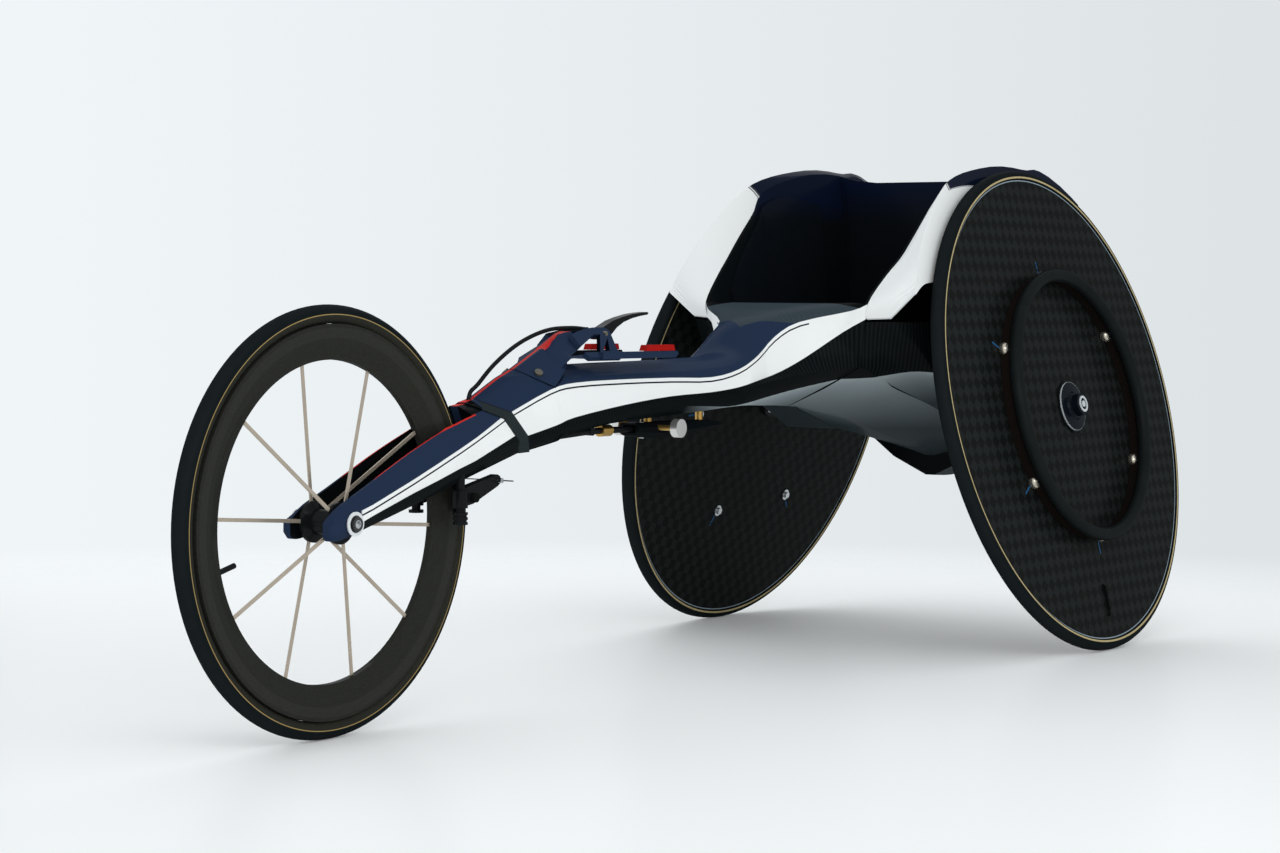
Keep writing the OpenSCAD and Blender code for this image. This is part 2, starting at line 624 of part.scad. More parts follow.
// Its section: share of the half width, then of the height from low to high
comp_ring_shares = [[0.6, 0], [1, 0.35], [1, 0.7], [0.7, 1]];
comp_steps = 3;
pivot_share = 0.136;
pivot_x = comp_front - comp_l * pivot_share;
limit_share = 0.078;
limit_x = pivot_x - comp_l * limit_share;
limit_up_share = 0.05;
limit_z = comp_z + comp_h * limit_up_share;
comp_slot_h = comp_eye_t + 4 * seat_gap;
module comp_housing() {
    last = (len(comp_shares) - 1) * comp_steps;
    color("black") difference() {
        skin(reverse([for (i = [0:last]) let (q = smooth(comp_shares, i / comp_steps), w = q[3] * comp_w / 2)
            whole([for (p = comp_ring_shares)
                [comp_front - q[0] * comp_l, p[0] * w, comp_z + mix(q[1], q[2], p[1]) * comp_h]])]));
        translate([limit_x - limit_d, -comp_eye_d / 2 - yoke_gap, comp_z - comp_slot_h / 2])
            cube([comp_l, comp_eye_d + 2 * yoke_gap, comp_slot_h]);
        translate([pivot_x, 0, comp_z]) cylinder(d = comp_pin_d + 2 * run_fit, h = 2 * comp_h, center = true);
        translate([limit_x, 0, limit_z]) cross_rod(limit_d + 2 * run_fit, 2 * comp_w);
    }
}
comp_pin_low_share = 0.62;
module comp_pin() {
    color("silver") translate([pivot_x, 0, comp_z - comp_h * comp_pin_low_share])
        cylinder(d = comp_pin_d, h = comp_h);
}
spacer_shares = [0.2, 0.76];
module comp_spacers() {
    color("goldenrod") for (s = spacer_shares) let (x = comp_front - s * comp_l,
        top = comp_z + comp_h * lookup(s, [for (q = comp_shares) [q[0], q[2]]]))
        translate([x, 0, top + 2 * seat_gap])
            cylinder(d = spacer_d, h = beam_bottom(x) - top - 4 * seat_gap);
}
limit_tip_share = 0.92;
module left_limit_screw() {
    tip = comp_eye_d / 2 * limit_tip_share;
    color("gold") translate([limit_x, 0, limit_z]) rotate([-90, 0, 0]) {
        translate([0, 0, tip]) cylinder(d = limit_d, h = comp_w / 2 + limit_l - tip);
        translate([0, 0, comp_w / 2 + limit_l - over]) cylinder(d = knob_d, h = knob_t + over);
    }
}
module right_limit_screw() {
    on_right() left_limit_screw();
}

// Fork section at the head in shares of its radius: forward and half width
fork_head_shares = [[-0.97, 0.6], [-0.375, 0.9], [0.54, 0.94], [0.77, 0.52], [1, 0.1]];
// Fork sections: X, then half width and height of underside, lower edge, upper edge and top
fork_shares = [
    [0.2902, 0.69, 0.684, 0.978, 0.735, 1, 0.8, 0.2, 0.875],
    [0.3913, 0.69, 0.665, 0.967, 0.715, 0.978, 0.77, 0.51, 0.8275],
    [0.5171, 0.69, 0.64, 0.95, 0.6875, 0.96, 0.735, 0.54, 0.7925],
    [0.6641, 0.69, 0.6125, 0.93, 0.6575, 0.94, 0.695, 0.55, 0.75],
    [0.8985, 0.69, 0.57, 0.9, 0.605, 0.905, 0.635, 0.57, 0.675],
    [1.0353, 0.68, 0.545, 0.85, 0.57, 0.86, 0.605, 0.58, 0.6325],
    [1.0993, 0.67, 0.5425, 0.8, 0.56, 0.8, 0.59, 0.59, 0.6025],
    [1.117, 0.64, 0.555, 0.72, 0.565, 0.72, 0.5825, 0.6, 0.59]];
// Its section under the band, in the same shares
fork_foot_shares = [[-0.68, 0.6], [-0.2, 0.9], [0.66, 0.94], [0.93, 0.52], [1.2, 0.1]];
function fork_head_half(shares, r, h) = [for (p = shares) head_pt(p[0] * r, p[1] * r, h)];
function fork_half(q) = let (x = fork_x(q[0]),
    p = [for (i = [1:2:7]) [x, at_y(q[i]), fork_z(q[i + 1], q[0])]])
    [p[0], p[1], p[2], mid(p[2], p[3]), p[3]];
fork_steps = 3;
band_top = -head_gap;
band_low = -head_gap - fork_band_h;
fork_rows = [for (q = fork_shares) fork_half(q)];
fork_blend = concat([fork_head_half(fork_foot_shares, head_r, band_low - seat_gap)], fork_rows);
fork_rings = concat(
    [whole(fork_head_half(fork_head_shares, head_r + fork_band_out, band_top)),
        whole(fork_head_half(fork_foot_shares, head_r + fork_band_out, band_low))],
    [for (i = [0:(len(fork_blend) - 1) * fork_steps]) whole(smooth(fork_blend, i / fork_steps))]);

// Pin on the fork behind the steering line that moves the compensator's arm
lug_share = 0.917;
lug_pin_d = comp_pin_d;
lug_r = lug_share * head_r;
lug_h_share = 2.3;
lug_h = lug_pin_d * lug_h_share;
yoke_h_share = 1.3;
yoke_h = lug_pin_d * yoke_h_share;
cable_end_shares = [1, 0.62];
cable_end = head_pt(cable_end_shares[0] * head_r, 0, -head_gap - cable_end_shares[1] * fork_band_h);
cable_turn_shares = [1.12, 0.07];
cable_turn = head_pt(cable_turn_shares[0] * head_r, 0, cable_turn_shares[1] * head_l);
cable_hole_gap = 1.2;

module at_front() {
    translate([front_x, 0, front_r]) rotate([90, 0, 0]) children();
}
module fork() {
    color("navy") difference() {
        union() {
            skin(fork_rings);
            at_head() translate([-lug_r, 0, band_top - lug_pin_d])
                cylinder(d = lug_pin_d, h = lug_h + lug_pin_d);
        }
        at_front() {
            cylinder(r = front_r + fork_tyre_gap, h = fork_slot_w, center = true);
            cylinder(d = front_axle_d + 2 * run_fit, h = 2 * beam_w, center = true);
            for (m = [0, 1]) mirror([0, 0, m]) translate([0, 0, axle_out])
                cylinder(d = axle_washer_d + 2 * seat_gap, h = axle_washer_t + over);
        }
        at_head() translate([0, 0, -steerer_in - seat_gap]) cylinder(d = steerer_d + 2 * run_fit, h = head_l);
        for (s = [-1, 1]) translate([stud_x, s * stud_gap / 2, 0])
            cylinder(d = stud_d + 2 * run_fit, h = stud_top + seat_gap);
        translate(cable_end) rotate([0, atan2(cable_turn[0] - cable_end[0], cable_turn[2] - cable_end[2]), 0])
            translate([0, 0, -seat_gap]) cylinder(d = cable_d + 2 * cable_hole_gap, h = head_r);
    }
}

module steerer() {
    color("silver") at_head() {
        translate([0, 0, -steerer_in])
            cylinder(d = steerer_d, h = steerer_in + head_bearing_up + head_bearing_w);
        cylinder(d = steerer_top_d, h = head_l + steerer_up);
    }
}

// Points of the bar's side view: shares of bar_l backwards and of bar_h upwards
bar_share = 0.7265;
bar_x = at_x(bar_share);
function bar_pt(p) = [bar_x - p[0] * bar_l, bar_z + p[1] * bar_h];
module side_view(shares, w) {
    rotate([90, 0, 0]) linear_extrude(height = w, center = true) polygon([for (p = shares) bar_pt(p)]);
}
// The same view drawn on the left leaning plate
module lean_view(shares, w) {
    translate([0, bar_w / 2, bar_z]) rotate([90 + bar_lean, 0, 0]) linear_extrude(height = w, center = true)
        polygon([for (p = shares) [bar_pt(p)[0], p[1] * bar_h / cos(bar_lean)]]);
}
plate_shares = [[0.28, 0.1], [0.28, 0.74], [0.408, 0.9], [0.481, 0.94], [0.575, 0.94], [0.598, 0.84],
    [0.55, 0.27], [0.55, 0], [0.3, 0]];
front_window_shares = [[0.19, 0.16], [0.4, 0.16], [0.5, 0.72], [0.45, 0.72]];
back_window_shares = [[0.427, 0.19], [0.481, 0.19], [0.538, 0.6]];
arm_shares = [[0.38, 0], [0.38, 0.22], [0.985, 0.22], [0.996, 0.12], [0.97, 0]];
pad_shares = [[0.725, 0.235], [0.74, 0.43], [0.955, 0.43], [0.965, 0.235]];
lever_shares = [[0.508, 0.66], [0.508, 0.92], [0.596, 1], [0.677, 1.216], [0.75, 1.335], [0.831, 1.432],
    [0.9, 1.48], [0.962, 1.505], [0.972, 1.46], [0.962, 1.415], [0.9, 1.37], [0.831, 1.29], [0.765, 1.17],
    [0.71, 0.99], [0.67, 0.78], [0.64, 0.66], [0.58, 0.6]];
lever_pivot_share = [0.546, 0.8];
lever_pivot = bar_pt(lever_pivot_share);
lever_pin_l = bar_w / 2;
// Roof of the foot: X and ridge height, then its half width and its drop to the sides
roof_shares = [[0.7536, 0.9675], [0.7013, 1.0425], [0.6633, 1.0425]];
roof_w_share = 1.02;
roof_ridge_share = 0.1;
roof_drop_share = 0.078;
roof_low_share = 0.82;
// Tower from the foot up to the plates: shares of bar_l backwards, then the upper edge's height in bar_h and
// half width in bar_w / 2, and the same of the lower edge
tower_shares = [[0.1, 0.12, 0.19, -0.45, 0.7], [0.13, 0.27, 0.19, -0.25, 0.8],
    [0.175, 0.42, 0.19, 0.03, 0.92], [0.215, 0.6, 0.13, 0.04, 0.97], [0.25, 0.77, 0.08, 0.02, 1],
    [0.3, 0.85, 0.13, 0.01, 1], [0.33, 0.88, 0.2, 0.01, 1]];
tower_wall_share = 1.3;
function tower_ring(q) = let (
    x = bar_x - q[0] * bar_l,
    out = [[x, q[4] * bar_w / 2, bar_z + q[3] * bar_h], [x, q[2] * bar_w / 2, bar_z + q[1] * bar_h]],
    shift = [[0, -tower_wall_share * bar_t, 0], [0, 0, -tower_wall_share * bar_t]])
    concat(out, reverse(flip_y(out)), flip_y(out + shift), reverse(out + shift));
screw_share = [0.7255, 0.52];
function roof_z(x, y_share) = at_z(lookup(x, [for (q = reverse(roof_shares)) [at_x(q[0]), q[1]]])
    - roof_drop_share * (y_share - roof_ridge_share) / (roof_w_share - roof_ridge_share));

module handlebar() {
    color("navy") difference() {
        union() {
            intersection() {
                at_head() translate([0, 0, head_l + foot_gap]) cylinder(r = foot_r, h = head_l);
                skin(reverse([for (q = roof_shares) let (x = at_x(q[0])) whole([
                    [x, at_y(roof_w_share), at_z(roof_low_share)],
                    [x, at_y(roof_w_share), at_z(q[1] - roof_drop_share)],
                    [x, at_y(roof_ridge_share), at_z(q[1])]])]));
            }
            skin(reverse([for (q = tower_shares) tower_ring(q)]));
            for (m = [0, 1]) mirror([0, m, 0]) {
                lean_view(plate_shares, bar_t);
                translate([0, bar_w / 2, 0]) side_view(arm_shares, arm_bar_w);
            }
        }
        for (m = [0, 1]) mirror([0, m, 0]) {
            lean_view(front_window_shares, 3 * bar_t);
            lean_view(back_window_shares, 3 * bar_t);
        }
        at_head() cylinder(d = steerer_top_d + 2 * run_fit, h = head_l + steerer_up + seat_gap);
        translate([lever_pivot[0], 0, lever_pivot[1]]) cross_rod(lever_pin_d + 2 * run_fit, bar_w);
    }
}
module handlebar_screws() {
    x = at_x(screw_share[0]);
    front = roof_shares[0];
    back = roof_shares[1];
    slope = atan2(at_z(back[1] - front[1]), at_x(front[0]) - at_x(back[0]));
    side = atan2(at_z(roof_drop_share), at_y(roof_w_share - roof_ridge_share));
    color("silver") for (m = [0, 1]) mirror([0, m, 0])
        translate([x, at_y(screw_share[1]), roof_z(x, screw_share[1])]) rotate([0, slope, 0])
            rotate([-side, 0, 0]) translate([0, 0, seat_gap]) cylinder(d = bar_screw_d, h = bar_screw_h);
}
module grip_pads() {
    color("crimson") for (m = [0, 1]) mirror([0, m, 0]) translate([0, bar_w / 2, 0])
        side_view(pad_shares, arm_bar_w);
}
module lever_pin() {
    color("silver") translate([lever_pivot[0], 0, lever_pivot[1]]) cross_rod(lever_pin_d, lever_pin_l);
}
module brake_lever() {
    color("black") difference() {
        side_view(lever_shares, lever_w);
        translate([lever_pivot[0], 0, lever_pivot[1]]) cross_rod(lever_pin_d + 2 * run_fit, 2 * lever_w);
    }
}

// Brake cable from the lever over the handlebar's foot into the fork: shares of bar_l and bar_h
cable_shares = [[0.483, 0.95], [0.38, 0.99], [0.223, 0.95], [0.077, 0.74], [-0.065, 0.38], [-0.208, -0.16],
    [-0.32, -0.74]];
cable_route = concat([for (p = cable_shares) let (q = bar_pt(p)) [q[0], 0, q[1]]], [cable_turn, cable_end]);
cable_steps = 4;
cable_sides = 8;
cable_near_share = 0.05;
function cable_at(u) = smooth(cable_route, max(0, min(len(cable_route) - 1, u)));
function cable_dir(u) = let (v = cable_at(u + cable_near_share) - cable_at(u - cable_near_share)) v / norm(v);
module brake_cable() {
    last = (len(cable_route) - 1) * cable_steps;
    color("black") skin([for (i = [0:last]) let (u = i / cable_steps, p = cable_at(u), t = cable_dir(u))
        [for (k = [0:cable_sides - 1]) let (a = (k + 0.5) * 360 / cable_sides)
            p + cable_d / 2 * (cos(a) * [0, 1, 0] + sin(a) * [-t[2], 0, t[0]])]]);
}

// Brake: studs under the fork, arms that turn on them, pads on the front rim
stud_share = 0.3335;
stud_x = fork_x(stud_share);
function brake_z(share) = fork_z(share, stud_share);
stud_z_shares = [0.555, 0.7];
stud_low = brake_z(stud_z_shares[0]);
stud_top = brake_z(stud_z_shares[1]);
arm_z_shares = [0.63, 0.673];
arm_z = brake_z(arm_z_shares[0]);
arm_end_z = brake_z(arm_z_shares[1]);
arm_end_share = 0.1172;
pad_r_share = 0.879;
pad_x = front_x - front_r * pad_r_share;
arm_end_x = fork_x(arm_end_share);
arm_y = stud_gap / 2;
arm_side_shares = [[0.3622, 0.602], [0.3622, 0.652], [0.2739, 0.667], [0.1172, 0.69], [0.0995, 0.684],
    [0.0995, 0.664], [0.1172, 0.656], [0.2739, 0.612]];
arm_boss_share = 1.3;
wire_hole_share = 3;
bolt_head_share = 1.8;
nipple_shares = [3.8, 4];
stud_rib_n = 3;
stud_groove_share = 0.07;
stud_head_share = 0.25;
// Both studs reach up into the fork; the left one carries the ribbed barrel, the right one a plain head
module brake_studs() {
    groove = barrel_d * stud_groove_share;
    step = barrel_h / (2 * stud_rib_n - 1);
    head_h = barrel_h * stud_head_share;
    color("black") {
        translate([stud_x, stud_gap / 2, stud_low]) {
            cylinder(d = stud_d, h = stud_top - stud_low);
            cylinder(d = barrel_d - 2 * groove, h = barrel_h);
            for (i = [0:stud_rib_n - 1]) translate([0, 0, i * 2 * step]) cylinder(d = barrel_d, h = step);
        }
        translate([stud_x, -stud_gap / 2, stud_low + barrel_h - head_h]) {
            cylinder(d = stud_d, h = stud_top - stud_low - barrel_h + head_h);
            cylinder(d = barrel_d, h = head_h);
        }
    }
}
module left_brake_arm() {
    boss_low = brake_z(arm_side_shares[0][1]);
    boss_top = brake_z(arm_side_shares[1][1]);
    color("dimgray") difference() {
        union() {
            translate([0, arm_y, 0]) rotate([90, 0, 0]) linear_extrude(height = arm_t, center = true)
                polygon([for (p = arm_side_shares) [fork_x(p[0]), brake_z(p[1])]]);
            translate([stud_x, arm_y, boss_low])
                cylinder(d = arm_w * arm_boss_share, h = boss_top - boss_low);
        }
        translate([stud_x, arm_y, arm_z]) cylinder(d = stud_d + 2 * run_fit, h = beam_w, center = true);
        translate([pad_x, arm_y, arm_z]) cross_rod(pad_bolt_d + 2 * run_fit, 2 * arm_w);
        translate([arm_end_x, arm_y, arm_end_z]) cross_rod(wire_d * wire_hole_share, 2 * arm_w);
    }
}
module right_brake_arm() {
    on_right() left_brake_arm();
}
module left_brake_pad() {
    face = front_rim_w / 2 + brake_gap;
    out = arm_y + arm_t / 2;
    color("black") {
        translate([pad_x - brake_pad_w / 2, face, arm_z - brake_pad_h / 2])
            cube([brake_pad_w, brake_pad_t, brake_pad_h]);
        translate([pad_x, face + brake_pad_t - over, arm_z]) rotate([-90, 0, 0])
            cylinder(d = pad_bolt_d, h = out - face - brake_pad_t + 2 * over);
        translate([pad_x, out + seat_gap, arm_z]) rotate([-90, 0, 0])
            cylinder(d = bolt_head_share * pad_bolt_d, h = pad_bolt_d);
    }
}
module right_brake_pad() {
    on_right() left_brake_pad();
}
module brake_wire() {
    end = arm_y + arm_t / 2 + seat_gap;
    nipple_l = nipple_shares[1] * wire_d;
    color("silver") translate([arm_end_x, 0, arm_end_z]) {
        cross_rod(wire_d, 2 * end + nipple_l);
        for (s = [-1, 1]) translate([0, s * (end + nipple_l / 2), 0])
            cross_rod(nipple_shares[0] * wire_d, nipple_l);
        translate([0, end + nipple_l * 2, 0]) cross_rod(wire_d, nipple_l * 3);
    }
}

// Compensator arm: an eye on its pin, a rod that bends down and a slotted yoke on the fork's pin
lug_pin_pt = head_pt(-lug_r, 0, yoke_h);
yoke_x = lug_pin_pt[0];
yoke_z = lug_pin_pt[2];
yoke_t_share = 0.75;
yoke_t = comp_rod_d * yoke_t_share;
yoke_w = lug_pin_d + 2 * yoke_gap + comp_rod_d;
yoke_l = 4 * lug_pin_d;
rod_end_x = yoke_x - lug_pin_d;
// The pin leans with the steering line, so the slot reaches further back
yoke_back = lug_pin_d / 2 / cos(steer_tilt) + yoke_t / 2 * tan(steer_tilt) + yoke_gap;
bend_share = 0.41;
bend_x = mix(pivot_x, yoke_x, bend_share);
// The eye's tail between the limit screws, and the knuckle where the rod bends
eye_tail_share = 0.8;
knuckle_shares = [1.3, 1.15];
module comp_arm() {
    drop = yoke_z - comp_z;
    run = rod_end_x - bend_x;
    color("black") difference() {
        union() {
            translate([pivot_x, 0, comp_z - comp_eye_t / 2]) cylinder(d = comp_eye_d, h = comp_eye_t);
            translate([limit_x - limit_d / 2, -comp_eye_d * eye_tail_share / 2, comp_z - comp_eye_t / 2])
                cube([pivot_x - limit_x, comp_eye_d * eye_tail_share, comp_eye_t]);
            translate([pivot_x, 0, comp_z]) rotate([0, 90, 0]) cylinder(d = comp_rod_d, h = bend_x - pivot_x);
            translate([bend_x, 0, comp_z])
                cross_rod(knuckle_shares[0] * comp_rod_d, knuckle_shares[1] * comp_rod_d);
            translate([bend_x, 0, comp_z]) rotate([0, atan2(run, drop), 0])
                cylinder(d = comp_rod_d, h = norm([run, drop]));
            translate([rod_end_x - 2 * lug_pin_d, -yoke_w / 2, yoke_z - yoke_t / 2])
                cube([yoke_l, yoke_w, yoke_t]);
        }
        translate([pivot_x, 0, comp_z])
            cylinder(d = comp_pin_d + 2 * run_fit, h = 2 * comp_eye_t, center = true);
        translate([yoke_x - yoke_back, -lug_pin_d / 2 - yoke_gap, yoke_z - yoke_t])
            cube([yoke_l, lug_pin_d + 2 * yoke_gap, 2 * yoke_t]);
    }
}
barrel_share = 0.3;
barrel_size_shares = [2.6, 1.8];
module comp_barrel() {
    l = comp_rod_d * barrel_size_shares[0];
    color("goldenrod") translate([mix(pivot_x, yoke_x, barrel_share) - l / 2, 0, comp_z]) rotate([0, 90, 0])
        ring(comp_rod_d + 2 * run_fit, comp_rod_d * barrel_size_shares[1], l);
}

// Front wheel, its axle along Y
front_seat_r = front_r - front_tyre_h;
front_rim_in_r = front_seat_r - front_rim_h;
module tyre_shape(ring_r, w, seat_r) {
    intersection() {
        translate([ring_r, 0]) circle(d = w, $fn = 48);
        translate([seat_r, -w]) square([2 * w, 2 * w]);
    }
}
module front_tyre() {
    color("black") at_front() rotate_extrude() tyre_shape(front_ring_r, front_tyre_w, front_seat_r);
}
// Rim section: share of its depth from the inside, then of its half width
rim_shares = [[0, 0.333], [0.06, 0.391], [0.28, 0.665], [0.5, 0.861], [0.72, 0.978], [0.9, 1], [1, 0.959]];
valve_in_share = 0.25;
valve_in = valve_in_share * front_rim_h;
module front_rim() {
    side = [for (q = rim_shares) [front_rim_in_r + q[0] * (front_rim_h - seat_gap), q[1] * front_rim_w / 2]];
    color("dimgray") at_front() difference() {
        rotate_extrude() polygon(concat(side, [for (p = reverse(side)) [p[0], -p[1]]]));
        rotate([0, 0, valve_turn]) translate([front_rim_in_r - over, 0, 0]) rotate([0, 90, 0])
            cylinder(d = valve_d + 2 * run_fit, h = valve_in + 2 * seat_gap + over);
    }
}
spoke_turn = 4.3;
valve_turn = -14;
flange_mid = (front_hub_l - front_flange_t) / 2;
module front_spokes() {
    in_r = front_flange_d / 2 + seat_gap;
    out_r = front_rim_in_r - seat_gap;
    lean = atan2(flange_mid, out_r - in_r);
    spoke_l = norm([flange_mid, out_r - in_r]) - seat_gap;
    color("silver") at_front() for (i = [0:spoke_n - 1]) let (s = i % 2 == 0 ? 1 : -1)
        rotate([0, 0, spoke_turn + i * 360 / spoke_n]) translate([in_r, 0, s * flange_mid])
            rotate([0, s * lean, 0]) translate([0, -spoke_w / 2, -spoke_t / 2])
                cube([spoke_l, spoke_w, spoke_t]);
}
// Lip in a hub that its bearings stop against
bearing_lip = 1;
module front_hub() {
    l = front_hub_l / 2;
    seat = front_bearing_d / 2;
    flange = front_flange_d / 2;
    half = [[seat - bearing_lip, l - front_bearing_w], [seat, l - front_bearing_w], [seat, l], [flange, l],
        [flange, l - front_flange_t], [front_barrel_d / 2, l - 2 * front_flange_t]];
    color("black") at_front() rotate_extrude() polygon(concat(half, [for (p = reverse(half)) [p[0], -p[1]]]));
}
module front_bearings() {
    color("silver") at_front() for (s = [0, 1]) mirror([0, 0, s])
        translate([0, 0, front_hub_l / 2 - front_bearing_w + run_fit])
            ring(front_axle_d + 2 * run_fit, front_bearing_d - 2 * run_fit, front_bearing_w - 2 * run_fit);
}
module front_valve() {
    color("black") at_front() rotate([0, 0, valve_turn]) translate([front_rim_in_r - valve_l, 0, 0])
        rotate([0, 90, 0]) cylinder(d = valve_d, h = valve_l + valve_in);
}
axle_out_share = 0.868;
axle_out = at_y(axle_out_share);
module front_axle() {
    color("silver") at_front() cylinder(d = front_axle_d, h = 2 * axle_out, center = true);
}
module axle_bolts() {
    color("silver") at_front() for (s = [0, 1]) mirror([0, 0, s]) translate([0, 0, axle_out + seat_gap])
        difference() {
            union() {
                cylinder(d = axle_washer_d, h = axle_washer_t);
                cylinder(d = axle_bolt_d, h = axle_washer_t + axle_bolt_h);
            }
            translate([0, 0, axle_washer_t + seat_gap])
                cylinder(d = axle_socket_d, h = axle_bolt_h + over, $fn = 6);
        }
}

// Rear wheel, left side; the right one is its mirror image, stopped at another turn
rear_seat_r = rear_r - rear_tyre_h;
standoff_r = handrim_d / 2;
standoff_turn = -27;
right_turn = 31.6;
module right_wheel() {
    on_right() at_wheel() rotate([0, 0, right_turn]) children();
}
valve_slot_share = 0.802;
module left_tyre() {
    color("black") at_wheel() rotate_extrude() tyre_shape(rear_ring_r, rear_tyre_w, rear_seat_r);
}
module standoff_places() {
    for (i = [0:standoff_n - 1]) rotate([0, 0, standoff_turn + i * 360 / standoff_n])
        translate([standoff_r, 0, 0]) children();
}
hub_hole_r = hub_d / 2 + run_fit;
module wheel_disc() {
    rim_r = rear_seat_r - seat_gap;
    side = [[hub_hole_r, disc_hub_w / 2], [hub_flange_d / 2, disc_hub_w / 2], [standoff_r, disc_mid_w / 2],
        [rim_r - rear_tyre_w, disc_rim_w / 2], [rim_r, disc_rim_w / 2]];
    color("midnightblue") difference() {
        rotate_extrude($fn = 180) polygon(concat(side, [for (p = reverse(side)) [p[0], -p[1]]]));
        standoff_places() cylinder(d = rim_screw_d + 2 * run_fit, h = 2 * disc_hub_w, center = true);
        translate([0, valve_slot_share * rear_r, disc_mid_w / 2 - valve_slot_h]) {
            for (s = [-1, 1]) translate([0, s * (valve_slot_l - valve_slot_w) / 2, 0])
                cylinder(d = valve_slot_w, h = valve_slot_h);
            translate([-valve_slot_w / 2, -(valve_slot_l - valve_slot_w) / 2, 0])
                cube([valve_slot_w, valve_slot_l - valve_slot_w, valve_slot_h]);
        }
    }
}
module left_disc() {
    at_wheel() wheel_disc();
}
module left_hub() {
    low = -disc_face - hub_inner_l;
    high = disc_face + hub_flange_t;
    b = hub_bearing_d / 2;
    color("silver") at_wheel() rotate_extrude() polygon([
        [b - bearing_lip, low + hub_bearing_w], [b, low + hub_bearing_w], [b, low], [hub_d / 2, low],
        [hub_d / 2, disc_face + seat_gap / 2], [hub_flange_d / 2, disc_face + seat_gap / 2],
        [hub_flange_d / 2, high], [b, high], [b, high - hub_bearing_w],
        [b - bearing_lip, high - hub_bearing_w]]);
}
module left_bearings() {
    low = -disc_face - hub_inner_l;
    high = disc_face + hub_flange_t;
    color("silver") at_wheel() for (w = [low, high - hub_bearing_w + run_fit])
        translate([0, 0, w]) ring(axle_d + 2 * run_fit, hub_bearing_d - 2 * run_fit, hub_bearing_w - run_fit);
}
cap_shoulder_share = 0.8;
module left_hub_cap() {
    r = cap_d / 2;
    foot = hub_flange_d / 2 - cap_wall;
    bore = hub_bearing_d / 2 + seat_gap;
    hole = axle_hex_d / 2 + 2 * seat_gap;
    color("black") at_wheel() translate([0, 0, cap_base]) rotate_extrude() polygon([
        [bore, 0], [foot, 0], [foot, cap_wall], [r, cap_h / 2], [r - cap_wall, cap_h * cap_shoulder_share],
        [hole + cap_wall, cap_h], [hole, cap_h], [hole, cap_h - cap_wall], [bore, cap_h - cap_wall]]);
}
standoff_face = disc_mid_w / 2 + seat_gap;
hoop_low = standoff_face + seat_gap;
hoop_top = handrim_out;
hole_gap = standoff_d + 2 * run_fit;
module wheel_hoop() {
    color("sienna") difference() {
        translate([0, 0, hoop_low]) ring(handrim_d - hoop_t, handrim_d + hoop_t, hoop_top - hoop_low);
        standoff_places() translate([0, 0, -over])
            cylinder(d = hole_gap, h = handrim_out - handrim_tube_d / 2 + over);
    }
}
module left_hoop() {
    at_wheel() wheel_hoop();
}
module left_handrim() {
    color("black") at_wheel() translate([0, 0, handrim_out]) difference() {
        rotate_extrude() translate([handrim_d / 2, 0]) circle(d = handrim_tube_d, $fn = 48);
        translate([0, 0, -handrim_tube_d])
            ring(handrim_d - hoop_t - 2 * run_fit, handrim_d + hoop_t + 2 * run_fit,
                handrim_tube_d + run_fit);
    }
}
module wheel_standoffs() {
    top = handrim_out - handrim_tube_d / 2 - seat_gap;
    back = -disc_mid_w / 2;
    color("silver") standoff_places() {
        translate([0, 0, standoff_face]) cylinder(d = standoff_d, h = top - standoff_face);
        translate([0, 0, back - rim_washer_t])
            cylinder(d = rim_screw_d, h = standoff_face - back + rim_washer_t + over);
        translate([0, 0, back - seat_gap - rim_washer_t]) cylinder(d = rim_washer_d, h = rim_washer_t);
        translate([0, 0, back - seat_gap - rim_washer_t - rim_screw_head_h])
            cylinder(d = rim_screw_head_d, h = rim_screw_head_h + over / 2);
    }
}
module left_standoffs() {
    at_wheel() wheel_standoffs();
}
module right_tyre() {
    on_right() left_tyre();
}
module right_disc() {
    right_wheel() wheel_disc();
}
module right_hub() {
    on_right() left_hub();
}
module right_bearings() {
    on_right() left_bearings();
}
module right_hub_cap() {
    on_right() left_hub_cap();
}
module right_hoop() {
    right_wheel() wheel_hoop();
}
module right_handrim() {
    on_right() left_handrim();
}
module right_standoffs() {
    right_wheel() wheel_standoffs();
}

main_beam();
seat_tub();
seat_back();
tail_fairing();
left_wing();
right_wing();
left_fender();
right_fender();
seat_lip();
side_liners();
head_bearings();
left_axle();
right_axle();
comp_housing();
comp_spacers();
comp_pin();
left_limit_screw();
right_limit_screw();
fork();
steerer();
handlebar();
handlebar_screws();
grip_pads();
lever_pin();
brake_cable();
brake_studs();
brake_wire();
front_axle();
axle_bolts();
brake_lever();
left_brake_arm();
right_brake_arm();
left_brake_pad();
right_brake_pad();
comp_arm();
comp_barrel();
front_tyre();
front_rim();
front_spokes();
front_hub();
front_bearings();
front_valve();
left_tyre();
left_disc();
left_hub();
left_bearings();
left_hub_cap();
left_hoop();
left_handrim();
left_standoffs();
right_tyre();
right_disc();
right_hub();
right_bearings();
right_hub_cap();
right_hoop();
right_handrim();
right_standoffs();
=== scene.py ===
import math
import bpy
import numpy as np
from mathutils import Matrix, Vector


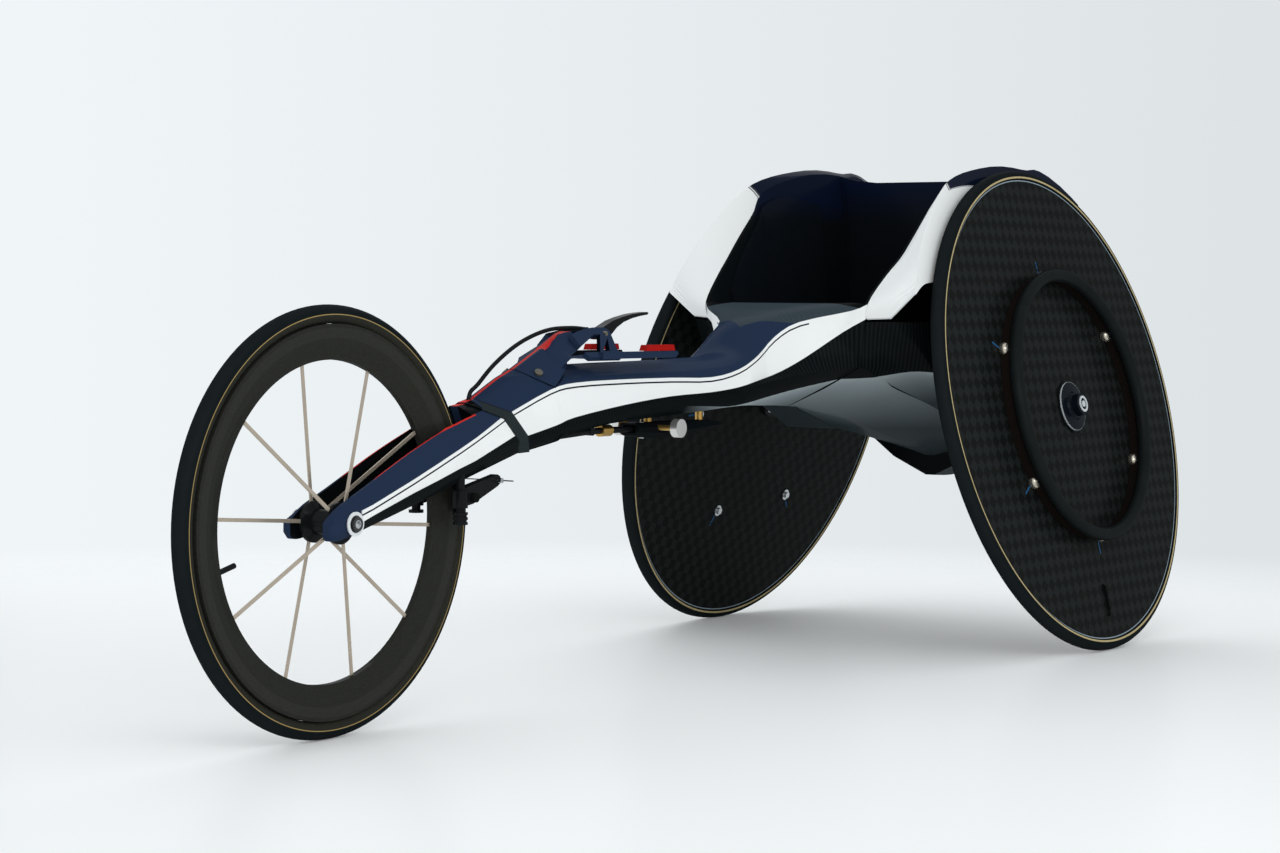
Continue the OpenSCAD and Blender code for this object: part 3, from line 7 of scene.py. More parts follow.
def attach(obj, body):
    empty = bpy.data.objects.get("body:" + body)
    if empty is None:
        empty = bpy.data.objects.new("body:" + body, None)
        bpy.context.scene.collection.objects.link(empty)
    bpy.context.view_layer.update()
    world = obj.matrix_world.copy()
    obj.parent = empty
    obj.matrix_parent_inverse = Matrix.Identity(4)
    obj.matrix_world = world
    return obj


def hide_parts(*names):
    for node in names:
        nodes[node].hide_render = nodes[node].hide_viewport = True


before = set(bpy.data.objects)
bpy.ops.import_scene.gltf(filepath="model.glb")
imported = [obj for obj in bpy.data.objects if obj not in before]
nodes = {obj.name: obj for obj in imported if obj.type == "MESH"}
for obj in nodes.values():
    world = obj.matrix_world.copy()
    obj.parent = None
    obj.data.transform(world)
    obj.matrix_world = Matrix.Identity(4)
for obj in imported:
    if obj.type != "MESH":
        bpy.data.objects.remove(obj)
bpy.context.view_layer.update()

scene = bpy.context.scene

# Places that the paint and the turned pieces follow, in metres
REAR_X, WHEELBASE, BEAM_Z = -0.57925, 1.262, 0.4
FRONT_X, FRONT_R = 0.68275, 0.2345
HUB_Y, HUB_Z = 0.244579, 0.329081
CAMBER_COS, CAMBER_SIN = 0.97278, 0.23175
HEAD_X, HEAD_Z, HEAD_R, HEAD_L = 0.396847, 0.33, 0.048, 0.074
TILT = math.radians(40)

# Standoffs between disc and handrim: their circle, and the angle of the first one on each wheel in degrees
STANDOFF_R = 0.182
STANDOFF_TURN = {"left": 27.0, "right": -4.6}
SIXTHS = np.arange(6) * 60.0

# Pitches of ribs and weaves, and the widths of painted lines and edges, in metres
RIB_PITCH, WEAVE_PITCH, SHELL_PITCH, DISC_SQUARE, DISC_THREAD = 0.0055, 0.004, 0.005, 0.028, 0.0021
STRIPE_W, STRIPE_SOFT, EDGE_SOFT = 0.002, 0.0003, 0.0004

# How much handling marks change a roughness
SCUFF = 0.12


class Value:
    """A shader socket used like a number: each operator adds one Math node to its tree."""

    def __init__(self, owner, socket):
        self.owner, self.socket = owner, socket

    def math(self, operation, *others, clamp=False):
        return self.owner.node("ShaderNodeMath", {"operation": operation, "use_clamp": clamp}, [self, *others])

    def __add__(self, other):
        return self.math("ADD", other)

    def __sub__(self, other):
        return self.math("SUBTRACT", other)

    def __rsub__(self, other):
        return self.owner.node("ShaderNodeMath", {"operation": "SUBTRACT"}, [other, self])

    def __mul__(self, other):
        return self.math("MULTIPLY", other)

    def __truediv__(self, other):
        return self.math("DIVIDE", other)

    def __pow__(self, other):
        return self.math("POWER", other)

    def __neg__(self):
        return self.math("MULTIPLY", -1.0)

    def __abs__(self):
        return self.math("ABSOLUTE")

    def __and__(self, other):
        return self.math("MINIMUM", other)

    def __or__(self, other):
        return self.math("MAXIMUM", other)

    __radd__ = __add__

    def clamped(self):
        """The value held between 0 and 1."""
        return self.math("ADD", 0.0, clamp=True)

    def past(self, edge, soft=EDGE_SOFT):
        """1 beyond the edge and 0 before it, with a narrow soft step."""
        return ((self - edge) / soft).math("ADD", 0.5, clamp=True)

    def between(self, low, high, soft=EDGE_SOFT):
        """1 from low to high and 0 elsewhere."""
        return self.past(low, soft) & (1 - self.past(high, soft))

    def waves(self, pitch):
        """A sine of that pitch, from 0 to 1."""
        return (self * (2 * math.pi / pitch)).math("SINE") * 0.5 + 0.5


class Nodes:
    """A node tree, emptied first, whose values are written as expressions."""

    def __init__(self, tree):
        self.tree = tree
        tree.nodes.clear()

    def node(self, kind, settings=None, inputs=None, out=0):
        """Adds any node: its settings first, then the values or links of its sockets."""
        made = self.tree.nodes.new(kind)
        for key, value in (settings or {}).items():
            if key == "points":
                self.bend(made.mapping, value)
            else:
                setattr(made, key, value)
        for key, value in (inputs.items() if isinstance(inputs, dict) else enumerate(inputs or [])):
            self.feed(made.inputs[key], value)
        return Value(self, made.outputs[out]) if made.outputs else None

    def bend(self, mapping, places):
        """Puts the points of a node's curve in place, straight between them."""
        curve = mapping.curves[0]
        while len(curve.points) < len(places):
            curve.points.new(0.5, 0.5)
        for point, place in zip(curve.points, places):
            point.location, point.handle_type = place, "VECTOR"
        mapping.update()

    def feed(self, socket, value):
        """Links a value to a socket, or sets a plain number or colour on it."""
        if isinstance(value, Value):
            self.tree.links.new(value.socket, socket)
        else:
            socket.default_value = value

    def split(self, vector):
        """A vector's three parts."""
        made = self.node("ShaderNodeSeparateXYZ", None, [vector]).socket.node
        return [Value(self, socket) for socket in made.outputs]

    def mix(self, factor, a, b):
        """Colour a where factor is 0 and b where it is 1."""
        return self.node("ShaderNodeMix", {"data_type": "RGBA"}, {0: factor, 6: a, 7: b}, out=2)


class Finish(Nodes):
    """One material: a Principled shader, the object's own coordinates and the nodes that vary them."""

    def __init__(self, name, **fixed):
        self.material = bpy.data.materials.new(name)
        self.material.use_nodes = True
        super().__init__(self.material.node_tree)
        surface = self.node("ShaderNodeBsdfPrincipled")
        self.shader = surface.socket.node
        self.node("ShaderNodeOutputMaterial", None, {"Surface": surface})
        self.place = self.node("ShaderNodeTexCoord", out="Object")
        self.x, self.y, self.z = self.split(self.place)
        self.give(**fixed)

    def give(self, **sockets):
        """Sets or links the shader's sockets, written base_color for Base Color and so on."""
        for key, value in sockets.items():
            self.feed(self.shader.inputs[key.replace("_", " ").title().replace("Ior", "IOR")], value)

    def noise(self, scale, detail=3.0, vector=None):
        return self.node("ShaderNodeTexNoise", None,
                         {"Vector": vector or self.place, "Scale": scale, "Detail": detail})

    def join(self, x, y, z):
        return self.node("ShaderNodeCombineXYZ", None, [x, y, z])

    def line(self, xs, zs, along=None):
        """A height given by points along X, or along another value, straight between them."""
        margin = 0.001
        order = np.argsort(xs)
        xs, zs = np.asarray(xs, float)[order], np.asarray(zs, float)[order]
        span, low, high = xs[-1] - xs[0], zs.min() - margin, zs.max() + margin
        points = list(zip((xs - xs[0]) / span, (zs - low) / (high - low)))
        share = ((self.x if along is None else along) - float(xs[0])) / float(span)
        height = self.node("ShaderNodeFloatCurve", {"points": points}, {"Value": share})
        return height * float(high - low) + float(low)

    def bump(self, height, strength, distance):
        self.give(normal=self.node("ShaderNodeBump", None,
                                   {"Strength": strength, "Distance": distance, "Height": height}))

    def facing(self):
        """How far a face looks towards the middle plane, up, and to the left."""
        _, ny, nz = self.split(self.node("ShaderNodeTexCoord", out="Normal"))
        return 0 - ny * self.y.math("SIGN"), nz, ny

    def wheel(self):
        """A rear wheel's own frame, alike on both sides: ahead, up, radius, angle, distance outwards."""
        lean = abs(self.y) - HUB_Y
        rise = self.z - HUB_Z
        u = self.x - REAR_X
        v = rise * CAMBER_COS - lean * CAMBER_SIN
        n = lean * CAMBER_COS + rise * CAMBER_SIN
        return u, v, (u * u + v * v).math("SQRT"), v.math("ARCTAN2", u), n

    def front(self):
        """Radius and angle in the front wheel's own frame."""
        u, v = self.x - FRONT_X, self.z - FRONT_R
        return (u * u + v * v).math("SQRT"), v.math("ARCTAN2", u)

    def head(self):
        """Distance forward of the steering line, and height along it."""
        u, v = self.x - HEAD_X, self.z - HEAD_Z
        return u * math.cos(TILT) + v * math.sin(TILT), v * math.cos(TILT) - u * math.sin(TILT)


def rgb(r, g, b):
    """A colour written as screen values from 0 to 255, made linear."""
    c = np.array([r, g, b]) / 255
    return (*np.where(c <= 0.04045, c / 12.92, ((c + 0.055) / 1.055) ** 2.4), 1.0)


def smooth_rows(rows, steps=3):
    """Values between a table's rows on the curve that runs through all of them (Catmull-Rom)."""
    rows = np.asarray(rows, float)
    u = np.linspace(0, len(rows) - 1, (len(rows) - 1) * steps + 1)
    i = np.minimum(u.astype(int), len(rows) - 2)
    t = (u - i)[:, None]
    a, b, c, d = (rows[np.clip(i + k, 0, len(rows) - 1)] for k in (-1, 0, 1, 2))
    return (2 * b + (c - a) * t + (2 * a - 5 * b + 4 * c - d) * t ** 2 + (3 * b - a - 3 * c + d) * t ** 3) / 2


def head_place(e, h):
    """X and Z of a point that far forward of the steering line and that far up along it."""
    return HEAD_X + e * math.cos(TILT) - h * math.sin(TILT), HEAD_Z + e * math.sin(TILT) + h * math.cos(TILT)


def beam_line(head, heights):
    """X and Z along one edge of the beam: two points at the head, then a height at each station."""
    rows = [head_place(e * HEAD_R, h * HEAD_L) for e, h in head]
    rows += [(REAR_X + x * WHEELBASE, z * BEAM_Z) for x, z in zip(STATIONS, heights)]
    return smooth_rows(rows).T


# Edges of the beam's paint, as shares of the wheelbase and of the beam's height
STATIONS = (0.6886, 0.6094, 0.5301, 0.4588, 0.4113, 0.3796, 0.3494, 0.3162, 0.2781, 0.2647)
shoulder = beam_line([(0.54, 0), (-0.36, 0.92)],
                     (0.945, 0.95, 0.95, 0.9475, 0.97, 1.0125, 1.0725, 1.12, 1.1575, 1.18))
flank = beam_line([(-0.375, 0), (-1.16, 0.615)],
                  (0.8425, 0.8725, 0.8925, 0.9, 0.913, 0.934, 0.96, 1.005, 1.0875, 1.13))
chine = beam_line([(-0.62, 0), (-1.4, 0.61)],
                  (0.822, 0.852, 0.86, 0.855, 0.85, 0.86, 0.877, 0.898, 0.921, 0.93))

# Edges of the fork's paint, in the same shares
FORK_STATIONS = np.array([0.78, 0.8392, 0.8621, 0.8906, 0.9239, 0.977, 1.008, 1.0225, 1.03])
FORK_UP = np.array([0.88, 0.8, 0.77, 0.735, 0.695, 0.635, 0.605, 0.59, 0.58])
FORK_LOW = np.array([0.8, 0.735, 0.715, 0.6875, 0.6575, 0.605, 0.57, 0.56, 0.555])

NAVY, NAVY_DEEP = rgb(37, 51, 75), rgb(30, 42, 63)
CAP_NAVY, CAP_DEEP = rgb(15, 24, 46), rgb(10, 15, 28)
WHITE, WHITE_DULL = rgb(242, 244, 243), rgb(228, 231, 231)
RED, RED_DEEP = rgb(196, 46, 40), rgb(150, 30, 28)
CARBON, CARBON_PALE = rgb(10, 13, 14), rgb(28, 33, 35)
SHELL, SHELL_PALE = rgb(10, 13, 15), rgb(20, 24, 26)
TOW, TOW_PALE = rgb(26, 27, 23), rgb(54, 54, 48)
# The belly's grey, partly its own satin grey and partly painted reflected floor light, and that grey darkened
# by painted shade
GREY, GREY_SHADED = rgb(172, 183, 187), rgb(46, 55, 58)
LINE_DARK = rgb(24, 28, 36)


def flake(finish, base, deep):
    """Metallic paint: a base colour broken by fine flakes and a slow change of tone."""
    tone = finish.noise(7.0, 2.0) * 0.35 + finish.noise(2600.0, 1.0) * 0.3
    return finish.mix(tone, base, deep)


def white_paint(finish):
    """White paint with a slow, faint change of tone."""
    return finish.mix(finish.noise(14.0) * 0.12, WHITE, WHITE_DULL)


def pinstripe(finish, up, drop):
    """1 on the dark line whose lower edge lies that far under the navy's edge."""
    return finish.z.between(up - drop, up - (drop - STRIPE_W), STRIPE_SOFT)


def fine_weave(a, b, pitch):
    """Plain weave: the product of two sines across and along, from 0 to 1."""
    return (a.waves(pitch) - 0.5) * (b.waves(pitch) - 0.5) * 2 + 0.5


def moulded_ribs(finish, across, along):
    """Fine ribs in dark cloth, their slope given by shares across and along, and the cloth's colour."""
    ribs = (abs(finish.y) * across - finish.x * along).waves(RIB_PITCH)
    return ribs, finish.mix(ribs * 0.55, CARBON, CARBON_PALE)


def shell_cloth(finish):
    """Woven dark shell: the weave and its colour."""
    weave = fine_weave(finish.x + finish.y * 0.5, finish.z + finish.y * 0.5, SHELL_PITCH)
    return weave, finish.mix(weave * 0.35 + finish.noise(6.0) * 0.3, SHELL, SHELL_PALE)


def tow_cloth(finish, r, angle):
    """Brownish cloth with its threads round the front wheel: the threads and their colour."""
    tow = finish.noise(1.0, 4.0, finish.join(angle * 60.0, r * 900.0, finish.y * 300.0))
    return tow, finish.mix(tow, TOW, TOW_PALE)


def grey_belly_with_painted_shade(finish, edge, fall, weave):
    """Satin grey, partly painted reflected floor light, that darkens below the edge over the height of the fall
    with painted shade.
    """
    shade_depth = ((edge - finish.z) / fall).clamped()
    return finish.mix(shade_depth ** 0.5 * 0.95 + weave * 0.05, GREY, GREY_SHADED)


def belly_edge(finish):
    """Height of the line between the dark cloth and the grey belly, by distance from the middle."""
    sides, heights = smooth_rows([(0.0, 0.93), (0.06, 0.93), (0.11, 0.936), (0.15, 0.956), (0.186, 0.952),
                                  (0.23, 0.93)]).T
    return finish.line(sides, BEAM_Z * heights, abs(finish.y))


def scuffed(finish, base):
    """Roughness with faint handling marks."""
    return finish.noise(38.0, 5.0) * SCUFF + (base - SCUFF / 2)


def make_beam_paint():
    """Navy top, white band with a dark pinstripe, ribbed dark flank, grey belly with painted reflected light
    and painted shade, and woven apron.
    """
    belly_x, stripe_x, apron_x, lip_x, ridge_x = -0.03, -0.19, -0.134, -0.2365, 0.345
    stripe_drop, ridge_half, gap_h, gap_e = 0.0063, 0.0022, 0.0014, -0.06
    f = Finish("beam_paint", coat_weight=0.035, coat_roughness=0.16, specular_ior_level=0.0)
    up, low, keel = f.line(*shoulder), f.line(*flank), f.line(*chine)
    side = abs(f.y)
    ribs, dark = moulded_ribs(f, 0.37, 0.93)
    weave = fine_weave(f.x, f.z, WEAVE_PITCH)
    # Behind belly_x the underside is partly satin grey and partly painted reflected floor light, fading to the
    # dark cloth towards the front, and darker lower down by painted shade
    belly = f.mix(1 - f.x.past(belly_x, 0.14), dark, grey_belly_with_painted_shade(f, keel, 0.06, weave))
    colour = f.mix(f.z.past(keel), belly, dark)
    band = f.z.past(low)
    colour = f.mix(band, colour, white_paint(f))
    colour = f.mix(pinstripe(f, up, stripe_drop) & f.x.past(stripe_x), colour, LINE_DARK)
    top = f.z.past(up)
    colour = f.mix(top, colour, flake(f, NAVY, NAVY_DEEP))
    apron = top & (1 - f.x.past(apron_x - side * 0.7))
    colour = f.mix(apron, colour, f.mix(weave * 0.5, rgb(58, 68, 75), rgb(46, 55, 61)))
    colour = f.mix(top & (1 - f.x.past(lip_x, 0.001)), colour, rgb(9, 11, 13))
    ridge = (1 - side.past(ridge_half)) & f.x.past(ridge_x, 0.004)
    colour = f.mix(ridge & top, colour, RED)
    e, h = f.head()
    colour = f.mix((1 - h.past(gap_h)) & e.past(gap_e), colour, LINE_DARK)
    f.give(base_color=colour, roughness=scuffed(f, 0.36) + (1 - band) * 0.1)
    f.bump(ribs * (1 - band) * 0.6 + weave * apron * 0.3 + f.noise(1900.0) * 0.04, 0.25, 0.0006)
    return f.material


def make_fender_paint():
    """White front with a navy cap behind a double pinstripe; dark where it faces the tyre."""
    cap_turn, skirt_n, crown_n, skirt_r, inner_r = 61.0, -0.0146, 0.029, 0.3555, 0.3
    crown_slope, skirt_slope = 380.0, 520.0
    f = Finish("fender_paint", coat_weight=0.12, coat_roughness=0.1, specular_ior_level=0.0)
    r, angle, n = f.wheel()[2:]
    turn = angle * (180 / math.pi)
    skirt = n.past(skirt_n, 0.0008)
    edge = cap_turn - ((-n - crown_n) | 0.0) * crown_slope + skirt * ((skirt_r - r) | 0.0) * skirt_slope
    lines = turn.between(edge - 0.95, edge - 0.65, 0.1) | turn.between(edge - 0.35, edge, 0.1)
    colour = f.mix(turn.past(edge, 0.15), white_paint(f), flake(f, CAP_NAVY, CAP_DEEP))
    colour = f.mix(lines, colour, LINE_DARK)
    colour = f.mix(1 - r.past(inner_r, 0.002), colour, CARBON)
    f.give(base_color=colour, roughness=scuffed(f, 0.24))
    f.bump(f.noise(1900.0) * 0.05, 0.2, 0.0005)
    return f.material


def make_fork_paint():
    """Navy upper faces with red edges, a white side band with a pinstripe, dark belly and black top band."""
    outer_y, tip_x, stripe_drop = 0.031, 0.672, 0.0062
    crown_half, crown_x, rail_y, rail_x = 0.0052, 0.47, (0.0222, 0.0246), (0.455, 0.63)
    slot_y, slot_x, band_h, band_e = 0.0228, 0.44, -0.0145, 0.047
    f = Finish("fork_paint", coat_weight=0.06, coat_roughness=0.16, specular_ior_level=0.0)
    xs = REAR_X + WHEELBASE * FORK_STATIONS
    up, low = f.line(xs, BEAM_Z * FORK_UP), f.line(xs, BEAM_Z * FORK_LOW)
    side = abs(f.y)
    weave = fine_weave(f.x, f.z, WEAVE_PITCH)
    outer = side.past(outer_y, 0.002)
    colour = f.mix(f.z.past(low) & outer, f.mix(weave * 0.5, CARBON, CARBON_PALE), white_paint(f))
    colour = f.mix(pinstripe(f, up, stripe_drop) & outer, colour, LINE_DARK)
    top = f.z.past(up) | f.x.past(tip_x, 0.003)
    colour = f.mix(top, colour, flake(f, NAVY, NAVY_DEEP))
    inward, upward, _ = f.facing()
    crown = (1 - side.past(crown_half)) & (1 - f.x.past(crown_x, 0.002))
    rail = side.between(*rail_y) & f.x.past(rail_x[0], 0.002) & (1 - f.x.past(rail_x[1], 0.01))
    colour = f.mix((crown | rail) & upward.past(0.15, 0.05), colour, RED)
    slot = f.x.past(slot_x, 0.001) & (1 - side.past(slot_y)) & (1 - crown)
    colour = f.mix(inward.past(0.5, 0.1) | slot, colour, CARBON)
    e, h = f.head()
    band = h.past(band_h) & (1 - e.past(band_e))
    colour = f.mix(band, colour, f.mix(weave * 0.5, rgb(36, 43, 45), rgb(48, 55, 57)))
    f.give(base_color=colour, roughness=scuffed(f, 0.34))
    f.bump(weave * (1 - top) * 0.2 + f.noise(1900.0) * 0.04, 0.25, 0.0005)
    return f.material


def make_bar_paint():
    """Navy handlebar with a red face up the front of its tower and a red line on its foot's ridge."""
    face_half, face_x, ridge_half, ridge_x, ridge_z, inside_z = 0.0092, (0.25, 0.302), 0.002, 0.3, 0.36, 0.402
    f = Finish("bar_paint", coat_weight=0.06, coat_roughness=0.16, specular_ior_level=0.0)
    inward, upward, sideways = f.facing()
    side = abs(f.y)
    across = 1 - abs(sideways).past(0.2, 0.05)
    face = across & upward.past(0.1, 0.05) & (1 - side.past(face_half)) & f.x.between(*face_x)
    ridge = (1 - side.past(ridge_half)) & f.z.past(ridge_z) & f.x.past(ridge_x) & upward.past(0.3, 0.1)
    inside = inward.past(0.3, 0.05) & f.z.past(inside_z)
    colour = f.mix(inside, flake(f, NAVY, NAVY_DEEP), rgb(14, 18, 28))
    colour = f.mix(face | ridge, colour, f.mix(f.noise(60.0) * 0.3, RED, RED_DEEP))
    f.give(base_color=colour, roughness=scuffed(f, 0.34))
    f.bump(f.noise(1900.0) * 0.06, 0.25, 0.0005)
    return f.material


def make_disc_cloth(side, turn):
    """Spread-tow cloth in squares, a pale line at the tyre and a blue mark beside each standoff."""
    cloth_turn, pale_r, mark_r, mark_half = 18.0, (0.3218, 0.3232), (0.1905, 0.207), 0.0012
    f = Finish(side + "_disc_cloth", coat_weight=0.07, coat_roughness=0.25, specular_ior_level=0.0)
    u, v, r, angle, _ = f.wheel()
    lay = math.radians(turn + cloth_turn)
    a, b = u * math.cos(lay) + v * math.sin(lay), v * math.cos(lay) - u * math.sin(lay)
    per_metre = 2 * math.pi / DISC_SQUARE
    squares = ((a * per_metre).math("SINE") * (b * per_metre).math("SINE")).past(0.0, 0.25)
    thread = a.waves(DISC_THREAD) * squares + b.waves(DISC_THREAD) * (1 - squares)
    tone = f.noise(5.0, 3.0)
    colour = f.mix(squares * 0.75 + thread * 0.15, rgb(18, 20, 20), rgb(34, 37, 37))
    colour = f.mix(tone * 0.3, colour, rgb(20, 20, 18))
    dust = f.noise(420.0, 2.0).past(0.735, 0.02) * f.noise(6.0).past(0.55, 0.2)
    colour = f.mix(dust * 0.3, colour, rgb(100, 104, 104))
    colour = f.mix(r.between(*pale_r, 0.0003), colour, rgb(150, 166, 176))
    # Sixths of a turn from the first standoff, kept above zero, with a standoff at each half
    step = angle * (3 / math.pi) - turn / 60.0 + 20.5
    off_standoff = abs(step.math("FRACT") - 0.5) * r * (math.pi / 3)
    mark = (1 - off_standoff.past(mark_half, 0.0006)) & r.between(*mark_r, 0.001)
    colour = f.mix(mark * f.noise(260.0).past(0.42, 0.1), colour, rgb(38, 92, 140))
    f.give(base_color=colour, roughness=0.36 + squares * 0.12 + tone * 0.1)
    f.bump(squares * 0.4 + thread * 0.35, 0.22, 0.0004)
    return f.material


def tyre_rubber(finish, r, angle, across, crown_r):
    """Colour of a tubular tyre; its file tread on the crown and its smoother sides go into the bump."""
    crown = r.past(crown_r, 0.002)
    round_way, side_way = angle * 640.0, across * 2600.0
    tread = (round_way + side_way).math("SINE") * (round_way - side_way).math("SINE")
    finish.give(roughness=0.56 + finish.noise(50.0) * 0.18)
    finish.bump(tread * crown * 0.5 + finish.noise(700.0) * 0.2, 0.35, 0.0005)
    colour = finish.mix(finish.noise(24.0, 4.0) * 0.5, rgb(17, 22, 24), rgb(30, 35, 37))
    return finish.mix(crown * finish.noise(90.0) * 0.4, colour, rgb(36, 38, 39))


def make_front_tyre():
    """Front tyre: rubber, a tan line and an inner wall in the rim's cloth."""
    crown_r, wall_r, tan_r = 0.2295, 0.2236, (0.2234, 0.2244)
    f = Finish("front_tyre_rubber", coat_weight=0.03, coat_roughness=0.4, specular_ior_level=0.0)
    r, angle = f.front()
    colour = tyre_rubber(f, r, angle, f.y, crown_r)
    colour = f.mix(1 - r.past(wall_r), colour, tow_cloth(f, r, angle)[1])
    f.give(base_color=f.mix(r.between(*tan_r, 0.0003), colour, rgb(158, 136, 88)))
    return f.material


def make_rear_tyre():
    """Rear tyre: rubber with a line of pale cement where it meets the disc."""
    crown_r, cement_r = 0.3335, (0.3256, 0.3281)
    f = Finish("rear_tyre_rubber", coat_weight=0.03, coat_roughness=0.4, specular_ior_level=0.0)
    r, angle, n = f.wheel()[2:]
    cement = f.mix(f.noise(300.0), rgb(206, 190, 146), rgb(160, 142, 98))
    f.give(base_color=f.mix(r.between(*cement_r, 0.0003), tyre_rubber(f, r, angle, n, crown_r), cement))
    return f.material


def make_rim_carbon():
    """Deep front rim: dark brownish unidirectional cloth with a paler brake track."""
    track_r = 0.1985, 0.2098
    f = Finish("rim_carbon", coat_weight=0.08, coat_roughness=0.12, specular_ior_level=0.0)
    r, angle = f.front()
    tow, colour = tow_cloth(f, r, angle)
    colour = f.mix(f.noise(4.0, 2.0) * 0.35, colour, rgb(34, 36, 38))
    track = r.between(*track_r, 0.001)
    colour = f.mix(track * 0.25, colour, rgb(60, 60, 58))
    f.give(base_color=colour, roughness=0.26 + tow * 0.12 + track * 0.1)
    f.bump(tow * 0.4, 0.15, 0.0003)
    return f.material


def make_housing_shell():
    """Woven dark housing under a thin coat."""
    f = Finish("housing_shell", coat_weight=0.05, coat_roughness=0.2, specular_ior_level=0.0)
    weave, colour = shell_cloth(f)
    f.give(base_color=colour, roughness=scuffed(f, 0.42))
    f.bump(weave * 0.5 + f.noise(1400.0) * 0.1, 0.2, 0.0004)
    return f.material


def make_tub_shell():
    """Seat tub: navy rim, dark woven sides and a grey underside with painted reflected floor light that darkens
    lower down with painted shade.
    """
    rim_z, belly_fall = 0.6, 0.075
    f = Finish("tub_shell", coat_weight=0.05, coat_roughness=0.2, specular_ior_level=0.0)
    upward = f.facing()[1]
    weave, colour = shell_cloth(f)
    edge = belly_edge(f)
    # Faces looking down or sideways below the edge get the grey with painted reflected floor light, darker
    # lower down by painted shade
    under = (1 - upward.past(-0.2, 0.1)) & (1 - f.z.past(edge))
    colour = f.mix(under, colour, grey_belly_with_painted_shade(f, edge, belly_fall, weave))
    colour = f.mix(f.z.past(rim_z, 0.03), colour, flake(f, CAP_NAVY, CAP_DEEP))
    f.give(base_color=colour, roughness=scuffed(f, 0.4))
    f.bump(weave * 0.4 + f.noise(1400.0) * 0.1, 0.2, 0.0004)
    return f.material


def make_wing_shell():
    """Ribbed dark cloth above the belly's edge and below it satin grey with painted reflected floor light and
    painted shade.
    """
    belly_fall = 0.04
    f = Finish("wing_shell", coat_weight=0.06, coat_roughness=0.2, specular_ior_level=0.0)
    edge = belly_edge(f)
    above = f.z.past(edge, 0.0008)
    ribs, dark = moulded_ribs(f, 0.74, 0.67)
    weave = fine_weave(f.x, f.y, WEAVE_PITCH)
    # Below the edge: grey with painted reflected floor light, darker lower down by painted shade
    f.give(base_color=f.mix(above, grey_belly_with_painted_shade(f, edge, belly_fall, weave), dark), roughness=scuffed(f, 0.4))
    f.bump(ribs * above * 0.6 + weave * 0.1, 0.3, 0.0006)
    return f.material


def make_satin(name, base, worn, rough=0.35, metal=0.0, grain=120.0, coat=0.0):
    """A plain moulded or machined finish: slow tone, fine grain and slight wear."""
    f = Finish(name, coat_weight=coat, coat_roughness=0.15, metallic=metal, specular_ior_level=0.0)
    tone = f.noise(grain, 4.0)
    f.give(base_color=f.mix(tone * 0.45, base, worn), roughness=tone * 0.2 + (rough - 0.1))
    f.bump(f.noise(grain * 9.0) * 0.3, 0.15, 0.0003)
    return f.material


def make_lining():
    """Seat lining: black cloth that turns navy towards the upper rim."""
    rim_z, rim_soft = 0.615, 0.05
    f = Finish("seat_lining", coat_weight=0.06, coat_roughness=0.2, specular_ior_level=0.0)
    tone = f.noise(60.0, 4.0)
    black = f.mix(tone * 0.5, rgb(13, 16, 20), rgb(21, 25, 29))
    rise = f.z.past(rim_z, rim_soft)
    f.give(base_color=f.mix(rise, black, flake(f, CAP_NAVY, CAP_DEEP)), roughness=tone * 0.2 + 0.4)
    f.bump(f.noise(540.0) * 0.3, 0.15, 0.0003)
    return f.material


def make_turned(name, base, worn, rough):
    """Turned metal with fine rings."""
    ring_pitch = 0.00045
    f = Finish(name, metallic=1.0)
    rings = f.x.waves(ring_pitch) * 0.4 + f.noise(240.0) * 0.4
    f.give(base_color=f.mix(rings, base, worn), roughness=rings * 0.15 + rough)
    f.bump(rings, 0.12, 0.0002)
    return f.material


def make_limit_screw():
    """A gold screw with fine turns and a pale turned knob."""
    knob_y, thread_pitch = 0.0392, 0.001
    f = Finish("limit_screw", metallic=0.85)
    knob = abs(f.y).past(knob_y, 0.0003)
    turns = f.y.waves(thread_pitch)
    tone = f.noise(240.0) * 0.4
    gold = f.mix(turns * 0.5 + tone, rgb(214, 178, 104), rgb(150, 112, 54))
    pale = f.mix(tone, rgb(226, 226, 222), rgb(190, 190, 188))
    f.give(base_color=f.mix(knob, gold, pale), roughness=tone * 0.3 + 0.24)
    f.bump(turns * (1 - knob) + tone * 0.2, 0.3, 0.0004)
    return f.material


def make_handrim_rubber():
    """Black push-rim rubber with a scuffed face and one butt joint."""
    joint_turn, joint_half = math.radians(81), 0.003
    f = Finish("handrim_rubber", coat_weight=0.06, coat_roughness=0.3, specular_ior_level=0.0)
    angle = f.wheel()[3]
    joint = 1 - abs(angle + joint_turn).past(joint_half, 0.001)
    scuff = f.noise(30.0, 5.0)
    colour = f.mix(scuff * 0.5, rgb(18, 21, 22), rgb(38, 42, 43))
    f.give(base_color=f.mix(joint, colour, rgb(12, 13, 13)), roughness=0.5 + scuff * 0.22)
    f.bump(f.noise(500.0, 3.0) * 0.4 - joint, 0.3, 0.0006)
    return f.material


